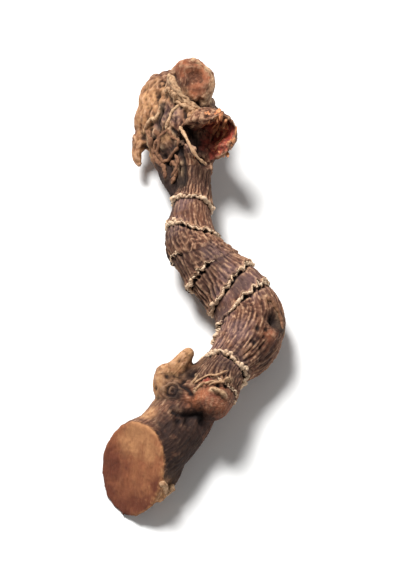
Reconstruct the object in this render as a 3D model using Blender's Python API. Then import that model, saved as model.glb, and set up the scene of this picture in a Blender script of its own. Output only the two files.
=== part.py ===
"""A dried galangal rhizome: one grown piece that lies on three low points of its underside.

Run it with blender --background --python part.py, or from Blender's text editor.
It is modelled in millimetres and scaled to metres at the end. +Z is up, the crown is at +Y
and the cut foot at -Y. The form is a union of limbs, each a tube round a smooth line. Rings,
ridges, buds and scars are then raised from the skin by formula, and the mesh is thinned.
"""

import math
import random

import bpy
import numpy as np
from mathutils import noise

MM = 0.001

# Middle of the footprint, which moves to the origin
FOOTPRINT_CENTRE = (-0.81, 0.395)

# Finish of the skin, used for the viewport only
SKIN_COLOUR = (0.24, 0.13, 0.08, 1.0)
SKIN_ROUGHNESS = 0.78

# Mesh sizes, passes of smoothing, triangles in the finished solid, and how much of the thinning rings take
BASE_VOXEL = 0.42
BASE_SMOOTHING = 6
FINE_VOXEL = 0.30
FINE_SMOOTHING = 3
RELIEF_SMOOTHING = 2
TRIANGLES = 11600
RING_CARE = 0.08
LOWEST_FLAT = 0.05

# The line and radius of each limb: x, y, z, radius
SHAFT = [
    (-3.3, 37.6, 7.4, 4.6),
    (-3.0, 33.1, 7.2, 6.3),
    (-2.2, 28.2, 7.1, 5.4),
    (-1.1, 22.7, 7.1, 3.5),
    (-1.0, 19.5, 7.0, 2.9),
    (-1.2, 16.1, 7.0, 3.3),
    (-1.7, 10.5, 6.9, 4.1),
    (-0.8, 6.5, 6.8, 4.7),
    (2.0, 2.9, 6.5, 5.1),
    (5.5, -0.9, 6.1, 5.5),
    (8.0, -4.6, 5.8, 5.8),
    (8.7, -8.4, 5.7, 6.0),
    (7.4, -12.6, 6.3, 5.2),
    (4.7, -16.7, 7.3, 3.9),
    (2.9, -20.6, 8.7, 3.9),
    (2.0, -24.2, 9.6, 3.5),
]
FOOT = [
    (3.6, -16.6, 6.2, 3.6),
    (-0.2, -20.8, 5.6, 4.8),
    (-3.7, -25.7, 5.3, 5.3),
    (-6.6, -29.9, 5.5, 5.7),
    (-9.9, -32.8, 6.0, 6.3),
    (-12.7, -36.6, 6.3, 6.6),
    (-17.2, -44.5, 7.2, 6.6),
]
KNOB = [(-2.8, 34.4, 8.0, 4.4), (-2.2, 35.7, 11.0, 3.8), (-1.6, 36.7, 13.6, 4.1)]
LEFT_LOBE = [
    (-4.2, 39.0, 8.8, 3.1),
    (-7.2, 37.6, 8.3, 3.2),
    (-8.6, 33.8, 7.0, 3.0),
    (-8.4, 30.6, 5.0, 2.6),
]
HEEL = [(-3.4, 32.6, 6.0, 3.4), (-4.6, 33.0, 2.4, 2.9)]
TORN_SHOOT = [(-1.4, 28.8, 8.0, 4.4), (0.3, 27.2, 10.4, 4.3), (1.5, 26.2, 13.0, 4.7)]
SHEATH = [
    (-6.6, 29.6, 6.2, 3.0),
    (-6.2, 25.0, 5.8, 2.3),
    (-5.0, 20.4, 5.8, 1.6),
    (-3.6, 16.8, 6.1, 0.9),
]
TONGUE = [
    (-8.9, 31.6, 5.6, 2.0),
    (-10.7, 29.6, 5.4, 1.3),
    (-11.1, 27.2, 4.9, 1.1),
    (-10.7, 25.2, 4.5, 0.8),
]
SIDE_LOBE = [
    (1.6, -22.4, 8.3, 3.0),
    (-3.0, -22.6, 8.0, 3.0),
    (-5.7, -20.6, 7.8, 2.4),
    (-5.9, -18.4, 8.2, 2.0),
]
FINGER = [(-5.6, -18.8, 8.2, 1.7), (-3.8, -17.2, 9.0, 1.4), (-1.9, -15.2, 9.7, 1.2)]
CUT_TAB = [(-4.2, -34.4, 4.4, 1.5), (-5.4, -36.8, 4.1, 1.3), (-6.8, -39.2, 3.5, 0.75)]
ELBOW_BUD = [(8.6, -8.8, 7.0, 4.2), (10.7, -9.6, 8.0, 3.2), (11.7, -9.9, 8.5, 2.5)]

# Knife cuts: a point on the plane, the way that the cut face looks, and how far the face reaches
FOOT_CUT = ((-11.3, -34.3, 6.6), (-0.59, -0.45, 0.67), 10.8)
KNOB_CUT = ((-1.3, 35.9, 15.7), (0.12, -0.34, 0.93), 3.5)

# Rings: length along the limb, lean over its right side, extra length at its left side, height of the lip
SHAFT_RINGS = [
    (16.0, 0.3, 0.0, 0.35),
    (22.7, 0.3, 0.0, 0.60),
    (29.2, 2.4, 0.0, 0.65),
    (33.6, 2.2, 0.0, 0.40),
    (36.9, 0.3, 0.0, 0.60),
    (41.7, -1.3, 0.0, 0.65),
    (45.7, -1.2, 9.0, 0.65),
    (60.0, 0.3, 0.0, 0.65),
    (65.2, 0.5, 0.0, 0.55),
]
SHAFT_RIDGED = (13.0, 66.1)
RING_WAVE = 0.40
RING_LIP_WIDTH = 1.25
RING_SWELL = 0.20
RING_STEP = 0.38
RING_STEP_LENGTH = 1.7
RING_EDGE = 0.45
BEADS_ROUND = 4.0

# Lengthwise ridges: how many round a limb, how far they meander in radians, height, and share of it far
# from a ring
RIDGE_COUNT = 15
RIDGE_MEANDER = 0.32
SHAFT_RIDGE = 0.36
LIMB_RIDGE = 0.16
RIDGE_START = 0.35
RIDGE_RISE = 3.0

# Lumps of the whole skin and the gnarled skin of the crown: size and height
LUMP = (4.5, 0.35)
GNARL = ((1.9, 4.2, 3.0), 0.75)

# Eye-like scars of buds and rootlets: x, y, z, radius, depth
SCARS = [(-6.6, 37.6, 10.9, 1.3, 0.4), (-4.8, -22.5, 10.6, 1.9, 0.8)]

# Round bosses: centre, radius, height. The second one is the bud on the elbow
BOSSES = [
    ((-1.9, 30.2, 13.8), 1.7, 0.8),
    ((11.8, -12.2, 10.2), 1.3, 0.9),
    ((-6.4, 26.0, 9.2), 1.1, 0.7),
]

# Round dents: centre, radius, depth. The first one lies under the hood of the elbow's bud
DENTS = [
    ((12.9, -9.2, 10.4), 2.4, 1.7),
    ((-1.6, -27.6, 10.2), 2.0, 1.1),
    ((-4.4, -27.8, 10.8), 1.7, 0.8),
    ((0.8, -28.4, 8.8), 1.4, 0.8),
    ((-1.2, -18.9, 9.6), 1.5, 1.0),
]

# Scars left by roots, drawn at random over the underside, up to this many degrees from straight down
ROOT_SCAR_COUNT = 18
ROOT_SCAR_SEED = 7
ROOT_SCAR_SPREAD = 55
ROOT_SCAR_RADIUS = (0.9, 1.6)
ROOT_SCAR_DEPTH = 0.55

# Hollows: mouth's centre, the way that it opens, radius, depth, raggedness, slope of the rim up to the
# right, and how far it is drawn out into three corners
HOLLOWS = [
    ((1.2, 25.0, 13.5), (0.30, -0.42, 0.86), 4.0, 5.4, 0.7, 0.30, 0.22),
    ((-1.7, 35.6, 15.6), (0.12, -0.34, 0.93), 2.8, 0.35, 0.3, 0.0, 0.15),
]
CORNER_TURN = math.radians(35)

# Raised lips of torn scales and sheaths on top of the rhizome, as lines in plan: x, y
LIPS = [
    [(-5.7, 37.2), (-4.5, 35.4), (-3.6, 33.6), (-1.8, 32.3), (0.2, 31.4)],
    [(-3.6, 32.0), (-4.8, 31.2), (-5.6, 29.6), (-6.1, 28.2)],
    [(-7.0, 32.8), (-7.7, 31.0), (-8.8, 31.2), (-9.9, 30.2)],
    [(-3.7, 28.4), (-3.3, 26.6), (-2.4, 24.6), (-1.1, 22.4), (0.0, 21.4), (1.1, 21.2)],
    [(-5.7, 28.2), (-8.0, 26.4), (-6.2, 23.8), (-3.8, 25.3), (-5.7, 28.2)],
    [(-9.6, 30.2), (-9.0, 28.4), (-8.5, 26.8), (-7.9, 24.9), (-7.4, 23.8)],
    [(-5.2, 23.7), (-4.6, 22.6), (-4.0, 21.4), (-4.6, 20.4), (-5.0, 19.4)],
    [(-8.0, 29.2), (-7.2, 27.0), (-7.6, 24.8), (-6.4, 22.6), (-6.2, 20.6)],
    [(11.5, -5.0), (12.6, -5.9), (13.5, -7.4), (14.2, -9.0), (14.4, -10.4)],
    [(5.2, -21.0), (4.2, -21.6), (3.0, -22.0), (1.6, -22.2), (0.2, -22.4), (-0.8, -23.2)],
    [(-1.3, 39.4), (0.9, 38.2), (2.0, 36.2), (1.6, 34.2), (0.4, 32.8)],
]
LIP_WIDTH = 0.9
LIP_HEIGHT = 0.65
LIP_LOWEST = 6.0


def unit(v):
    """The same direction, one long."""
    v = np.asarray(v, float)
    return v / np.linalg.norm(v)


def smooth_line(stations, step):
    """Points about step apart on the Catmull-Rom curve through the stations."""
    padded = np.vstack([2 * stations[0] - stations[1], stations, 2 * stations[-1] - stations[-2]])
    line = []
    for a, b, c, d in zip(padded, padded[1:], padded[2:], padded[3:]):
        count = max(2, math.ceil(np.linalg.norm(c[:3] - b[:3]) / step))
        t = np.arange(count)[:, None] / count
        bend = (c - a) * t + (2 * a - 5 * b + 4 * c - d) * t**2 + (3 * b - a - 3 * c + d) * t**3
        line.append(b + 0.5 * bend)
    return np.vstack([*line, stations[-1:]])


def nearest_sample(points, samples, block=4000):
    """Index of the sample nearest to each point."""
    found = np.empty(len(points), int)
    for i in range(0, len(points), block):
        away = points[i : i + block, None, :] - samples[None]
        found[i : i + block] = np.einsum("ijk,ijk->ij", away, away).argmin(1)
    return found


class Limb:
    """A tube round a smooth line, with the rings on it and the stretch that is ridged."""

    STEP = 0.25

    def __init__(self, stations, cut=None, rings=(), ridged=(-1.0, 1000.0), ridge=LIMB_RIDGE):
        line = smooth_line(np.array(stations, float), self.STEP)
        self.centre, self.radius = line[:, :3], line[:, 3]
        self.cut, self.rings, self.ridged, self.ridge = cut, rings, ridged, ridge
        spans = np.linalg.norm(np.diff(self.centre, axis=0), axis=1)
        self.along = np.concatenate([[0.0], np.cumsum(spans)])
        self.tangent = np.array([unit(t) for t in np.gradient(self.centre, axis=0)])
        self.side, self.up = self.frames()

    def frames(self):
        """Side and up directions that turn as little as they can along the line."""
        upright = abs(self.tangent[0][2]) > 0.8
        up = np.array([0.0, 1.0, 0.0] if upright else [0.0, 0.0, 1.0])
        sides, ups = [], []
        for tangent in self.tangent:
            side = unit(np.cross(up, tangent))
            up = np.cross(tangent, side)
            sides.append(side)
            ups.append(up)
        return np.array(sides), np.array(ups)

    def coordinates(self, points):
        """Length along the limb, angle round it (0 right, a quarter turn up) and height over its skin."""
        nearest = nearest_sample(points, self.centre)
        offset = points - self.centre[nearest]
        along = self.along[nearest] + np.einsum("ij,ij->i", offset, self.tangent[nearest])
        across = np.einsum("ij,ij->i", offset, self.side[nearest])
        above = np.einsum("ij,ij->i", offset, self.up[nearest])
        inside = np.clip(along, 0, self.along[-1])
        height = np.sqrt(across**2 + above**2 + (along - inside) ** 2) - self.radius[nearest]
        return inside, np.arctan2(above, across), height

    def on_skin(self, along, angle):
        """The point of the skin at this length and angle."""
        i = int(np.searchsorted(self.along, along))
        out = math.cos(angle) * self.side[i] + math.sin(angle) * self.up[i]
        return self.centre[i] + self.radius[i] * out


def tube(limb, sides=40):
    """Corner points and faces of the limb's tube, with round ends, and flat where a knife has cut it."""
    caps = [math.radians(a) for a in (80, 55, 30)]
    last = len(limb.centre) - 1
    rows = [(0, -math.sin(a), math.cos(a)) for a in caps]
    rows += [(i, 0.0, 1.0) for i in range(0, last + 1, 2)]
    rows += [(last, math.sin(a), math.cos(a)) for a in reversed(caps)]
    angles = np.arange(sides) * 2 * math.pi / sides
    points = []
    for i, push, shrink in rows:
        ring = np.outer(np.cos(angles), limb.side[i]) + np.outer(np.sin(angles), limb.up[i])
        points.append(limb.centre[i] + limb.radius[i] * (push * limb.tangent[i] + shrink * ring))
    points = np.vstack(points)
    if limb.cut:
        place, way = np.array(limb.cut[0]), unit(limb.cut[1])
        beyond = np.maximum(0, (points - place) @ way)
        direction = limb.tangent[nearest_sample(place[None], limb.centre)[0]]
        points -= np.outer(beyond / (direction @ way), direction)
    faces = []
    for row in range(len(rows) - 1):
        for k in range(sides):
            a, b = row * sides + k, row * sides + (k + 1) % sides
            faces.append((a, b, b + sides, a + sides))
    faces.append(tuple(range(sides))[::-1])
    faces.append(tuple(range((len(rows) - 1) * sides, len(rows) * sides)))
    return points, faces


def mesh_of(name, shapes):
    """One mesh that holds all the shapes, each given as points and faces."""
    points, faces, first = [], [], 0
    for corners, sides in shapes:
        points.append(corners)
        faces += [tuple(first + k for k in face) for face in sides]
        first += len(corners)
    mesh = bpy.data.meshes.new(name)
    mesh.from_pydata(np.vstack(points).tolist(), [], faces)
    return mesh


def modified(mesh, kind, weights=None, **settings):
    """The mesh after one of Blender's modifiers, which weights at the corners may steer."""
    helper = bpy.data.objects.new("helper", mesh)
    bpy.context.scene.collection.objects.link(helper)
    modifier = helper.modifiers.new(kind, kind)
    if weights is not None:
        group = helper.vertex_groups.new(name="weights")
        steps = np.round(np.clip(weights, 0, 1) * 10).astype(int)
        for step in range(1, 11):
            group.add(np.flatnonzero(steps == step).tolist(), step / 10, "REPLACE")
        modifier.vertex_group = group.name
    for key, value in settings.items():
        setattr(modifier, key, value)
    graph = bpy.context.evaluated_depsgraph_get()
    made = bpy.data.meshes.new_from_object(helper.evaluated_get(graph))
    bpy.data.objects.remove(helper)
    bpy.data.meshes.remove(mesh)
    return made


def corners_of(mesh):
    """The mesh's corner points and their normals, as arrays."""
    count = len(mesh.vertices)
    points, normals = np.empty(count * 3), np.empty(count * 3)
    mesh.vertices.foreach_get("co", points)
    mesh.vertices.foreach_get("normal", normals)
    return points.reshape(-1, 3), normals.reshape(-1, 3)


def move_corners(mesh, points):
    """Puts the mesh's corners at these points."""
    mesh.vertices.foreach_set("co", np.asarray(points, np.float32).ravel())
    mesh.update()


def rough(points):
    """Smooth noise from about -1 to 1 at each point."""
    return np.array([noise.noise(p) for p in np.asarray(points).tolist()])


def hill(distance, width):
    """A round hill of height 1 that is about width across at half its height."""
    return np.exp(-((distance / (0.6 * width)) ** 2))


def fade(value, low, high):
    """0 up to low, 1 from high, and straight between them."""
    return np.clip((value - low) / (high - low), 0, 1)


def past_ring(ring, along, angle):
    """How far each point lies past the ring, along the limb."""
    place, lean, left, _ = ring
    return along - place - lean * np.cos(angle) - left * np.maximum(0, -np.cos(angle)) ** 3


def ring_relief(rings, along, angle):
    """Height of the rings over the skin, each point's number of rings passed, and its way to the next one."""
    turn = np.column_stack([np.cos(angle), np.sin(angle), np.zeros(len(along))])
    beads = 0.8 + 0.6 * rough(turn * BEADS_ROUND + 40)
    relief, passed = np.zeros(len(along)), np.zeros(len(along))
    to_next = np.full(len(along), 2 * RIDGE_RISE)
    for number, ring in enumerate(rings):
        past = past_ring(ring, along, angle) - RING_WAVE * rough(turn * 1.9 + 10 * number)
        lower_side = 0.5 + 0.5 * np.tanh(past / RING_EDGE)
        step = RING_SWELL - (RING_SWELL + RING_STEP) * lower_side
        relief += ring[3] * beads * hill(past, RING_LIP_WIDTH)
        relief += step * np.exp(-np.abs(past) / RING_STEP_LENGTH)
        passed += past > 0
        to_next = np.where((past < 0) & (-past < to_next), -past, to_next)
    return relief, passed, to_next


def ridge_relief(along, angle, passed):
    """Lengthwise ridges, from about -1 to 1, that meander a little and start afresh past each ring."""
    spot = np.column_stack([np.cos(angle) * 1.5, np.sin(angle) * 1.5, along * 0.14 + passed * 3.7])
    bent = angle + RIDGE_MEANDER * rough(spot)
    uneven = np.clip(0.8 + 1.2 * rough(spot * 1.3 + 20), 0.2, 1.15)
    return uneven * np.sin(RIDGE_COUNT * bent + 2.1 * passed)


def limb_relief(limb, along, angle):
    """Rings and ridges of one limb. The ridges rise towards the next ring."""
    rings, passed, to_next = ring_relief(limb.rings, along, angle)
    rise = RIDGE_START + (1 - RIDGE_START) * np.exp(-to_next / RIDGE_RISE) if limb.rings else 1.0
    start, end = limb.ridged
    shown = fade(along, start, start + 3) * (1 - fade(along, end, end + 0.6))
    return shown * (rings + limb.ridge * rise * ridge_relief(along, angle, passed))


def blended_relief(limbs, points):
    """Each limb's own relief, blended where limbs meet."""
    total, weights = np.zeros(len(points)), np.full(len(points), 1e-9)
    for limb in limbs.values():
        along, angle, height = limb.coordinates(points)
        weight = np.exp(-np.abs(height) / 0.5)
        total += weight * limb_relief(limb, along, angle)
        weights += weight
    return total / weights


def root_scars(limbs):
    """Scars of roots over the underside of the shaft and the foot, in the form of SCARS."""
    draw = random.Random(ROOT_SCAR_SEED)
    scars = []
    for k in range(ROOT_SCAR_COUNT):
        limb = limbs["foot" if k % 3 == 0 else "shaft"]
        along = limb.along[-1] * draw.uniform(0.12, 0.85)
        angle = math.radians(-90 + draw.uniform(-ROOT_SCAR_SPREAD, ROOT_SCAR_SPREAD))
        scars.append((*limb.on_skin(along, angle), draw.uniform(*ROOT_SCAR_RADIUS), ROOT_SCAR_DEPTH))
    return scars


def scar_relief(scars, points):
    """Eye-like scars, each with a raised lip, a pit and a core, and the bosses and dents."""
    relief = np.zeros(len(points))
    for x, y, z, radius, depth in scars:
        away = np.linalg.norm(points - (x, y, z), axis=1) / radius
        relief += depth * (0.8 * hill(away - 0.85, 0.5) - hill(away, 0.75) + 0.7 * hill(away, 0.3))
    for place, radius, height in BOSSES:
        relief += height * hill(np.linalg.norm(points - place, axis=1), 1.6 * radius)
    for place, radius, depth in DENTS:
        relief -= depth * hill(np.linalg.norm(points - place, axis=1), radius)
    return relief


def lip_relief(points):
    """Raised lips along lines on top of the rhizome."""
    relief = np.zeros(len(points))
    plan = points[:, :2]
    for line in LIPS:
        samples = smooth_line(np.array(line), 0.3)
        away = np.linalg.norm(plan - samples[nearest_sample(plan, samples)], axis=1)
        relief = np.maximum(relief, LIP_HEIGHT * hill(away, LIP_WIDTH))
    return fade(points[:, 2], LIP_LOWEST, LIP_LOWEST + 1) * relief


def cut_faces(points):
    """1 on the knife cuts, 0 off them."""
    on_cut = np.zeros(len(points))
    for place, way, reach in (FOOT_CUT, KNOB_CUT):
        away = points - place
        near_plane = np.clip(1.6 - np.abs(away @ unit(way)) / 0.35, 0, 1)
        on_cut = np.maximum(on_cut, near_plane * (1 - fade(np.linalg.norm(away, axis=1), reach - 0.8, reach)))
    return on_cut


def mouth_axes(way):
    """The directions to the right and up in the plane of a mouth that opens this way."""
    right = unit(np.array([1.0, 0, 0]) - way[0] * way)
    return right, np.cross(way, right)


def open_hollows(points):
    """Points pushed down into each mouth, which leaves a hollow with a ragged rim."""
    for place, way, radius, depth, ragged, slope, corners in HOLLOWS:
        way = unit(way)
        right, up = mouth_axes(way)
        away = points - place
        height = away @ way
        across = np.linalg.norm(away - np.outer(height, way), axis=1)
        turn = np.arctan2(away @ up, away @ right)
        near = fade(height, -0.5 * depth - 0.3, -0.5 * depth) * (1 - fade(across, 1.5 * radius, 2 * radius))
        torn = fade(height, -2, 0) * (slope * away[:, 0] + ragged * rough(points * 0.5))
        mouth = radius * (1 + corners * np.cos(3 * (turn - CORNER_TURN))) + ragged * rough(points * 0.45 + 9)
        inside = 1 - fade(across, mouth - 0.9, mouth)
        points = points + np.outer(near * (torn - inside * 0.9 * (depth + height)), way)
    return points


def gnarl(points):
    """How gnarled the skin is at each point: 1 on the crown but for the knob's face, less elsewhere."""
    lobe = hill(np.linalg.norm(points - (-4, -22, 8), axis=1), 6)
    face = hill(np.linalg.norm(points - KNOB_CUT[0], axis=1), 6)
    return np.clip((fade(points[:, 1], 21, 25) + 0.7 * lobe) * (1 - 0.8 * face), 0, 1)


def relief_of(limbs, points):
    """How far the skin is raised at each point."""
    skin = 1 - cut_faces(points)
    gnarled = gnarl(points)
    size, height = GNARL
    stretched = points / np.array(size)
    creased = 0.25 - np.abs(rough(stretched)) + 0.4 * rough(2 * stretched)
    grown = blended_relief(limbs, points) * (1 - 0.5 * gnarled) + height * gnarled * creased
    marks = scar_relief(SCARS + root_scars(limbs), points) + lip_relief(points)
    size, height = LUMP
    return skin * (grown + marks) + height * (0.25 + 0.75 * skin) * rough(points / size)


def plainness(shaft, points):
    """Where the mesh may be thinned most: 1 on plain skin, 0 on the shaft's rings and on lips."""
    along, angle, height = shaft.coordinates(points)
    on_ring = np.zeros(len(points))
    for ring in shaft.rings:
        on_ring = np.maximum(on_ring, hill(past_ring(ring, along, angle), 2 * RING_LIP_WIDTH))
    on_ring *= 1 - fade(np.abs(height), 0.5, 1.5)
    return 1 - np.maximum(on_ring, np.clip(lip_relief(points) / LIP_HEIGHT, 0, 1))


def rhizome_limbs():
    """Every limb by name."""
    return {
        "shaft": Limb(SHAFT, rings=SHAFT_RINGS, ridged=SHAFT_RIDGED, ridge=SHAFT_RIDGE),
        "foot": Limb(FOOT, cut=FOOT_CUT),
        "knob": Limb(KNOB, cut=KNOB_CUT),
        "left_lobe": Limb(LEFT_LOBE),
        "heel": Limb(HEEL),
        "torn_shoot": Limb(TORN_SHOOT),
        "sheath": Limb(SHEATH),
        "tongue": Limb(TONGUE),
        "side_lobe": Limb(SIDE_LOBE),
        "finger": Limb(FINGER),
        "cut_tab": Limb(CUT_TAB),
        "elbow_bud": Limb(ELBOW_BUD),
    }


def rhizome_mesh():
    """The whole rhizome as one thinned mesh, in millimetres."""
    limbs = rhizome_limbs()
    mesh = mesh_of("rhizome", [tube(limb) for limb in limbs.values()])
    mesh = modified(mesh, "REMESH", mode="VOXEL", voxel_size=BASE_VOXEL)
    mesh = modified(mesh, "SMOOTH", factor=0.5, iterations=BASE_SMOOTHING)
    move_corners(mesh, open_hollows(corners_of(mesh)[0]))
    mesh = modified(mesh, "REMESH", mode="VOXEL", voxel_size=FINE_VOXEL)
    mesh = modified(mesh, "SMOOTH", factor=0.5, iterations=FINE_SMOOTHING)

    points, normals = corners_of(mesh)
    move_corners(mesh, points + normals * relief_of(limbs, points)[:, None])
    mesh = modified(mesh, "SMOOTH", factor=0.5, iterations=RELIEF_SMOOTHING)
    points, _ = corners_of(mesh)
    points[:, 2] = np.maximum(points[:, 2], 0)
    move_corners(mesh, points)

    mesh.calc_loop_triangles()
    share = TRIANGLES / len(mesh.loop_triangles)
    plain = plainness(limbs["shaft"], points)
    mesh = modified(mesh, "DECIMATE", plain, ratio=share, vertex_group_factor=RING_CARE)
    points, _ = corners_of(mesh)
    points[:, 2] = np.where(points[:, 2] < LOWEST_FLAT, 0, points[:, 2])
    move_corners(mesh, points - (*FOOTPRINT_CENTRE, 0))
    return mesh


def skin_material():
    """Brown dried skin."""
    material = bpy.data.materials.new("rhizome_skin")
    material.use_nodes = True
    shader = material.node_tree.nodes["Principled BSDF"]
    shader.inputs["Base Color"].default_value = SKIN_COLOUR
    shader.inputs["Roughness"].default_value = SKIN_ROUGHNESS
    shader.inputs["Metallic"].default_value = 0.0
    return material


def main():
    for obj in list(bpy.data.objects):
        bpy.data.objects.remove(obj)
    mesh = rhizome_mesh()
    points, _ = corners_of(mesh)
    print("box in mm", points.min(0).round(2), points.max(0).round(2))
    move_corners(mesh, points * MM)
    mesh.name = "rhizome"
    mesh.materials.append(skin_material())
    mesh.shade_smooth()
    rhizome = bpy.data.objects.new("rhizome", mesh)
    bpy.context.scene.collection.objects.link(rhizome)


main()
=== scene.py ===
# %% [markdown]
# # A dried galangal rhizome
# Galangal is a relative of ginger. What is sold as its root is a rhizome: an underground stem
# that creeps, bends and branches, and that dries to a hard, ringed, deeply wrinkled finger.
# This lesson builds one such piece in Blender, from its broad form down to its torn fibres.

# %% Load the frame
import math
import random

import bpy
import numpy as np
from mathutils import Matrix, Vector, noise
from mathutils.bvhtree import BVHTree


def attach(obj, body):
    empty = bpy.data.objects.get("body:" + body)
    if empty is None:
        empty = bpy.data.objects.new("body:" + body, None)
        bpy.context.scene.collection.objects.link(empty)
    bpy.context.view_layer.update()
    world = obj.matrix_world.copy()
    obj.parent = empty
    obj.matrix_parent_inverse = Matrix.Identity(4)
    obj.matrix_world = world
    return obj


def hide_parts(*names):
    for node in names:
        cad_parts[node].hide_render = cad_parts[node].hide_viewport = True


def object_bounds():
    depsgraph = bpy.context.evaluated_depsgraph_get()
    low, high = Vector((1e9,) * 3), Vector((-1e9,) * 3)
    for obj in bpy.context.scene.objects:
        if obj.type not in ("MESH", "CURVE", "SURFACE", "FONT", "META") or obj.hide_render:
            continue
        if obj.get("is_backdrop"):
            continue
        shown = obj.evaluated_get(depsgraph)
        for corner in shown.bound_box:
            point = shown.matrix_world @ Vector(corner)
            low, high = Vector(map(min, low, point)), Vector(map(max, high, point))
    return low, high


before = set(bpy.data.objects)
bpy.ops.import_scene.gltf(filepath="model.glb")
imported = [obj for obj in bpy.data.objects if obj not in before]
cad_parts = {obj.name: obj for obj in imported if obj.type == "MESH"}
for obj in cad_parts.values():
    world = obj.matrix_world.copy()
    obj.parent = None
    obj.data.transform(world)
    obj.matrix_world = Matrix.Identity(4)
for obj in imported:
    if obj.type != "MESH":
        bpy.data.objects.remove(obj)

cad_low, cad_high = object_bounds()
print("plain model, low corner", [round(v, 4) for v in cad_low])
print("plain model, high corner", [round(v, 4) for v in cad_high])

# %% [markdown]
# ## Millimetres first, metres last
# A rhizome's rings and wrinkles are easiest to think of in millimetres. So everything here is
# drawn in millimetres, round a point near the middle of the piece, and is moved and scaled into
# the frame in one place. FOOTPRINT_CENTRE is the point of the drawing that lands on the frame's
# origin.

# %% Millimetres into the frame
MM = 0.001
FOOTPRINT_CENTRE = np.array([-0.81, 0.395, 0.0])


def in_frame(points):
    """Drawn millimetres as metres in the frame."""
    return (np.asarray(points, float) - FOOTPRINT_CENTRE) * MM


print("the drawing's origin lands at", in_frame([0, 0, 0]).round(5), "m")

# %% [markdown]
# ## The camera
# The piece is seen from above its cut foot, as when it lies on a table in front of you. A long
# lens from half a metre away keeps the far crown from shrinking, and a tilt of 62 degrees shows
# both the top and the slanting cut face. In Blender a camera looks down its own -Z, so turning
# it by 90 degrees less the tilt about X aims it at the object.

# %% Camera
VIEW_TILT = math.radians(62)
LENS = 180.0
SENSOR = 36.0
NEAREST_SEEN = 10 * MM
VIEW_HEIGHT = 99 * MM
LOOK_AT = Vector(in_frame([0, 0, 6]))


def add_camera():
    """A camera that frames VIEW_HEIGHT at LOOK_AT."""
    data = bpy.data.cameras.new("camera")
    data.lens = LENS
    data.sensor_fit = "VERTICAL"
    data.sensor_height = SENSOR
    data.clip_start = NEAREST_SEEN
    camera = bpy.data.objects.new("camera", data)
    distance = VIEW_HEIGHT * LENS / SENSOR
    camera.location = LOOK_AT + distance * Vector((0, -math.cos(VIEW_TILT), math.sin(VIEW_TILT)))
    camera.rotation_euler = (math.pi / 2 - VIEW_TILT, 0, 0)
    bpy.context.scene.collection.objects.link(camera)
    bpy.context.scene.camera = camera
    return distance


print("camera stands", round(add_camera(), 3), "m away")

# %% [markdown]
# ## The limbs as smooth lines
# A rhizome grows tip by tip, so its skeleton is a set of lines that swell and shrink. Each limb
# below is a short list of stations: x, y, z and the radius there. A Catmull-Rom curve passes
# through every station, so a station can be read straight off the object. Bezier curve objects
# could do the same, but plain arrays make it easy to ask later how far along a limb and which
# way round it any point of the skin lies, and the rings and wrinkles need just that.

# %% Smooth lines through stations
def unit(v):
    """The same direction, one long."""
    v = np.asarray(v, float)
    return v / np.linalg.norm(v)


def smooth_line(stations, step):
    """Points about step apart on the Catmull-Rom curve through the stations."""
    stations = np.array(stations, float)
    padded = np.vstack([2 * stations[0] - stations[1], stations, 2 * stations[-1] - stations[-2]])
    line = []
    for a, b, c, d in zip(padded, padded[1:], padded[2:], padded[3:]):
        count = max(2, math.ceil(np.linalg.norm(c[:3] - b[:3]) / step))
        t = np.arange(count)[:, None] / count
        bend = (c - a) * t + (2 * a - 5 * b + 4 * c - d) * t**2 + (3 * b - a - 3 * c + d) * t**3
        line.append(b + 0.5 * bend)
    return np.vstack([*line, stations[-1:]])


def nearest_sample(points, samples, block=4000):
    """Index of the sample nearest to each point."""
    found = np.empty(len(points), int)
    for i in range(0, len(points), block):
        away = points[i : i + block, None, :] - samples[None]
        found[i : i + block] = np.einsum("ijk,ijk->ij", away, away).argmin(1)
    return found


class Limb:
    """A tube round a smooth line."""

    STEP = 0.25
    UPRIGHT = 0.8

    def __init__(self, stations, cut=None):
        line = smooth_line(stations, self.STEP)
        self.centre, self.radius, self.cut = line[:, :3], line[:, 3], cut
        spans = np.linalg.norm(np.diff(self.centre, axis=0), axis=1)
        self.along = np.concatenate([[0.0], np.cumsum(spans)])
        self.tangent = np.array([unit(t) for t in np.gradient(self.centre, axis=0)])
        self.side, self.up = self.frames()

    def frames(self):
        """Side and up directions that turn as little as they can along the line."""
        upright = abs(self.tangent[0][2]) > self.UPRIGHT
        up = np.array([0.0, 1.0, 0.0] if upright else [0.0, 0.0, 1.0])
        sides, ups = [], []
        for tangent in self.tangent:
            side = unit(np.cross(up, tangent))
            up = np.cross(tangent, side)
            sides.append(side)
            ups.append(up)
        return np.array(sides), np.array(ups)

    def coordinates(self, points):
        """Length along the limb, angle round it (0 right, a quarter turn up) and height over its skin."""
        nearest = nearest_sample(points, self.centre)
        offset = points - self.centre[nearest]
        along = self.along[nearest] + np.einsum("ij,ij->i", offset, self.tangent[nearest])
        across = np.einsum("ij,ij->i", offset, self.side[nearest])
        above = np.einsum("ij,ij->i", offset, self.up[nearest])
        inside = np.clip(along, 0, self.along[-1])
        height = np.sqrt(across**2 + above**2 + (along - inside) ** 2) - self.radius[nearest]
        return inside, np.arctan2(above, across), height

    def spoke(self, along, angle):
        """Centre, outward direction and radius at this length and angle."""
        i = min(int(np.searchsorted(self.along, along)), len(self.along) - 1)
        out = math.cos(angle) * self.side[i] + math.sin(angle) * self.up[i]
        return self.centre[i], out, self.radius[i]


# %% [markdown]
# The shaft runs from the crown, round the elbow, to a smooth domed tip. The stout foot passes
# beneath that tip and ends in a slanting knife cut. Everything else is a short outgrowth: the
# knob, lobe, torn shoot, sheath and tongue of the crown, the heel that it rests on, the side lobe
# with its little finger, a torn tab of skin at the cut, and the bud on the elbow.

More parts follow.
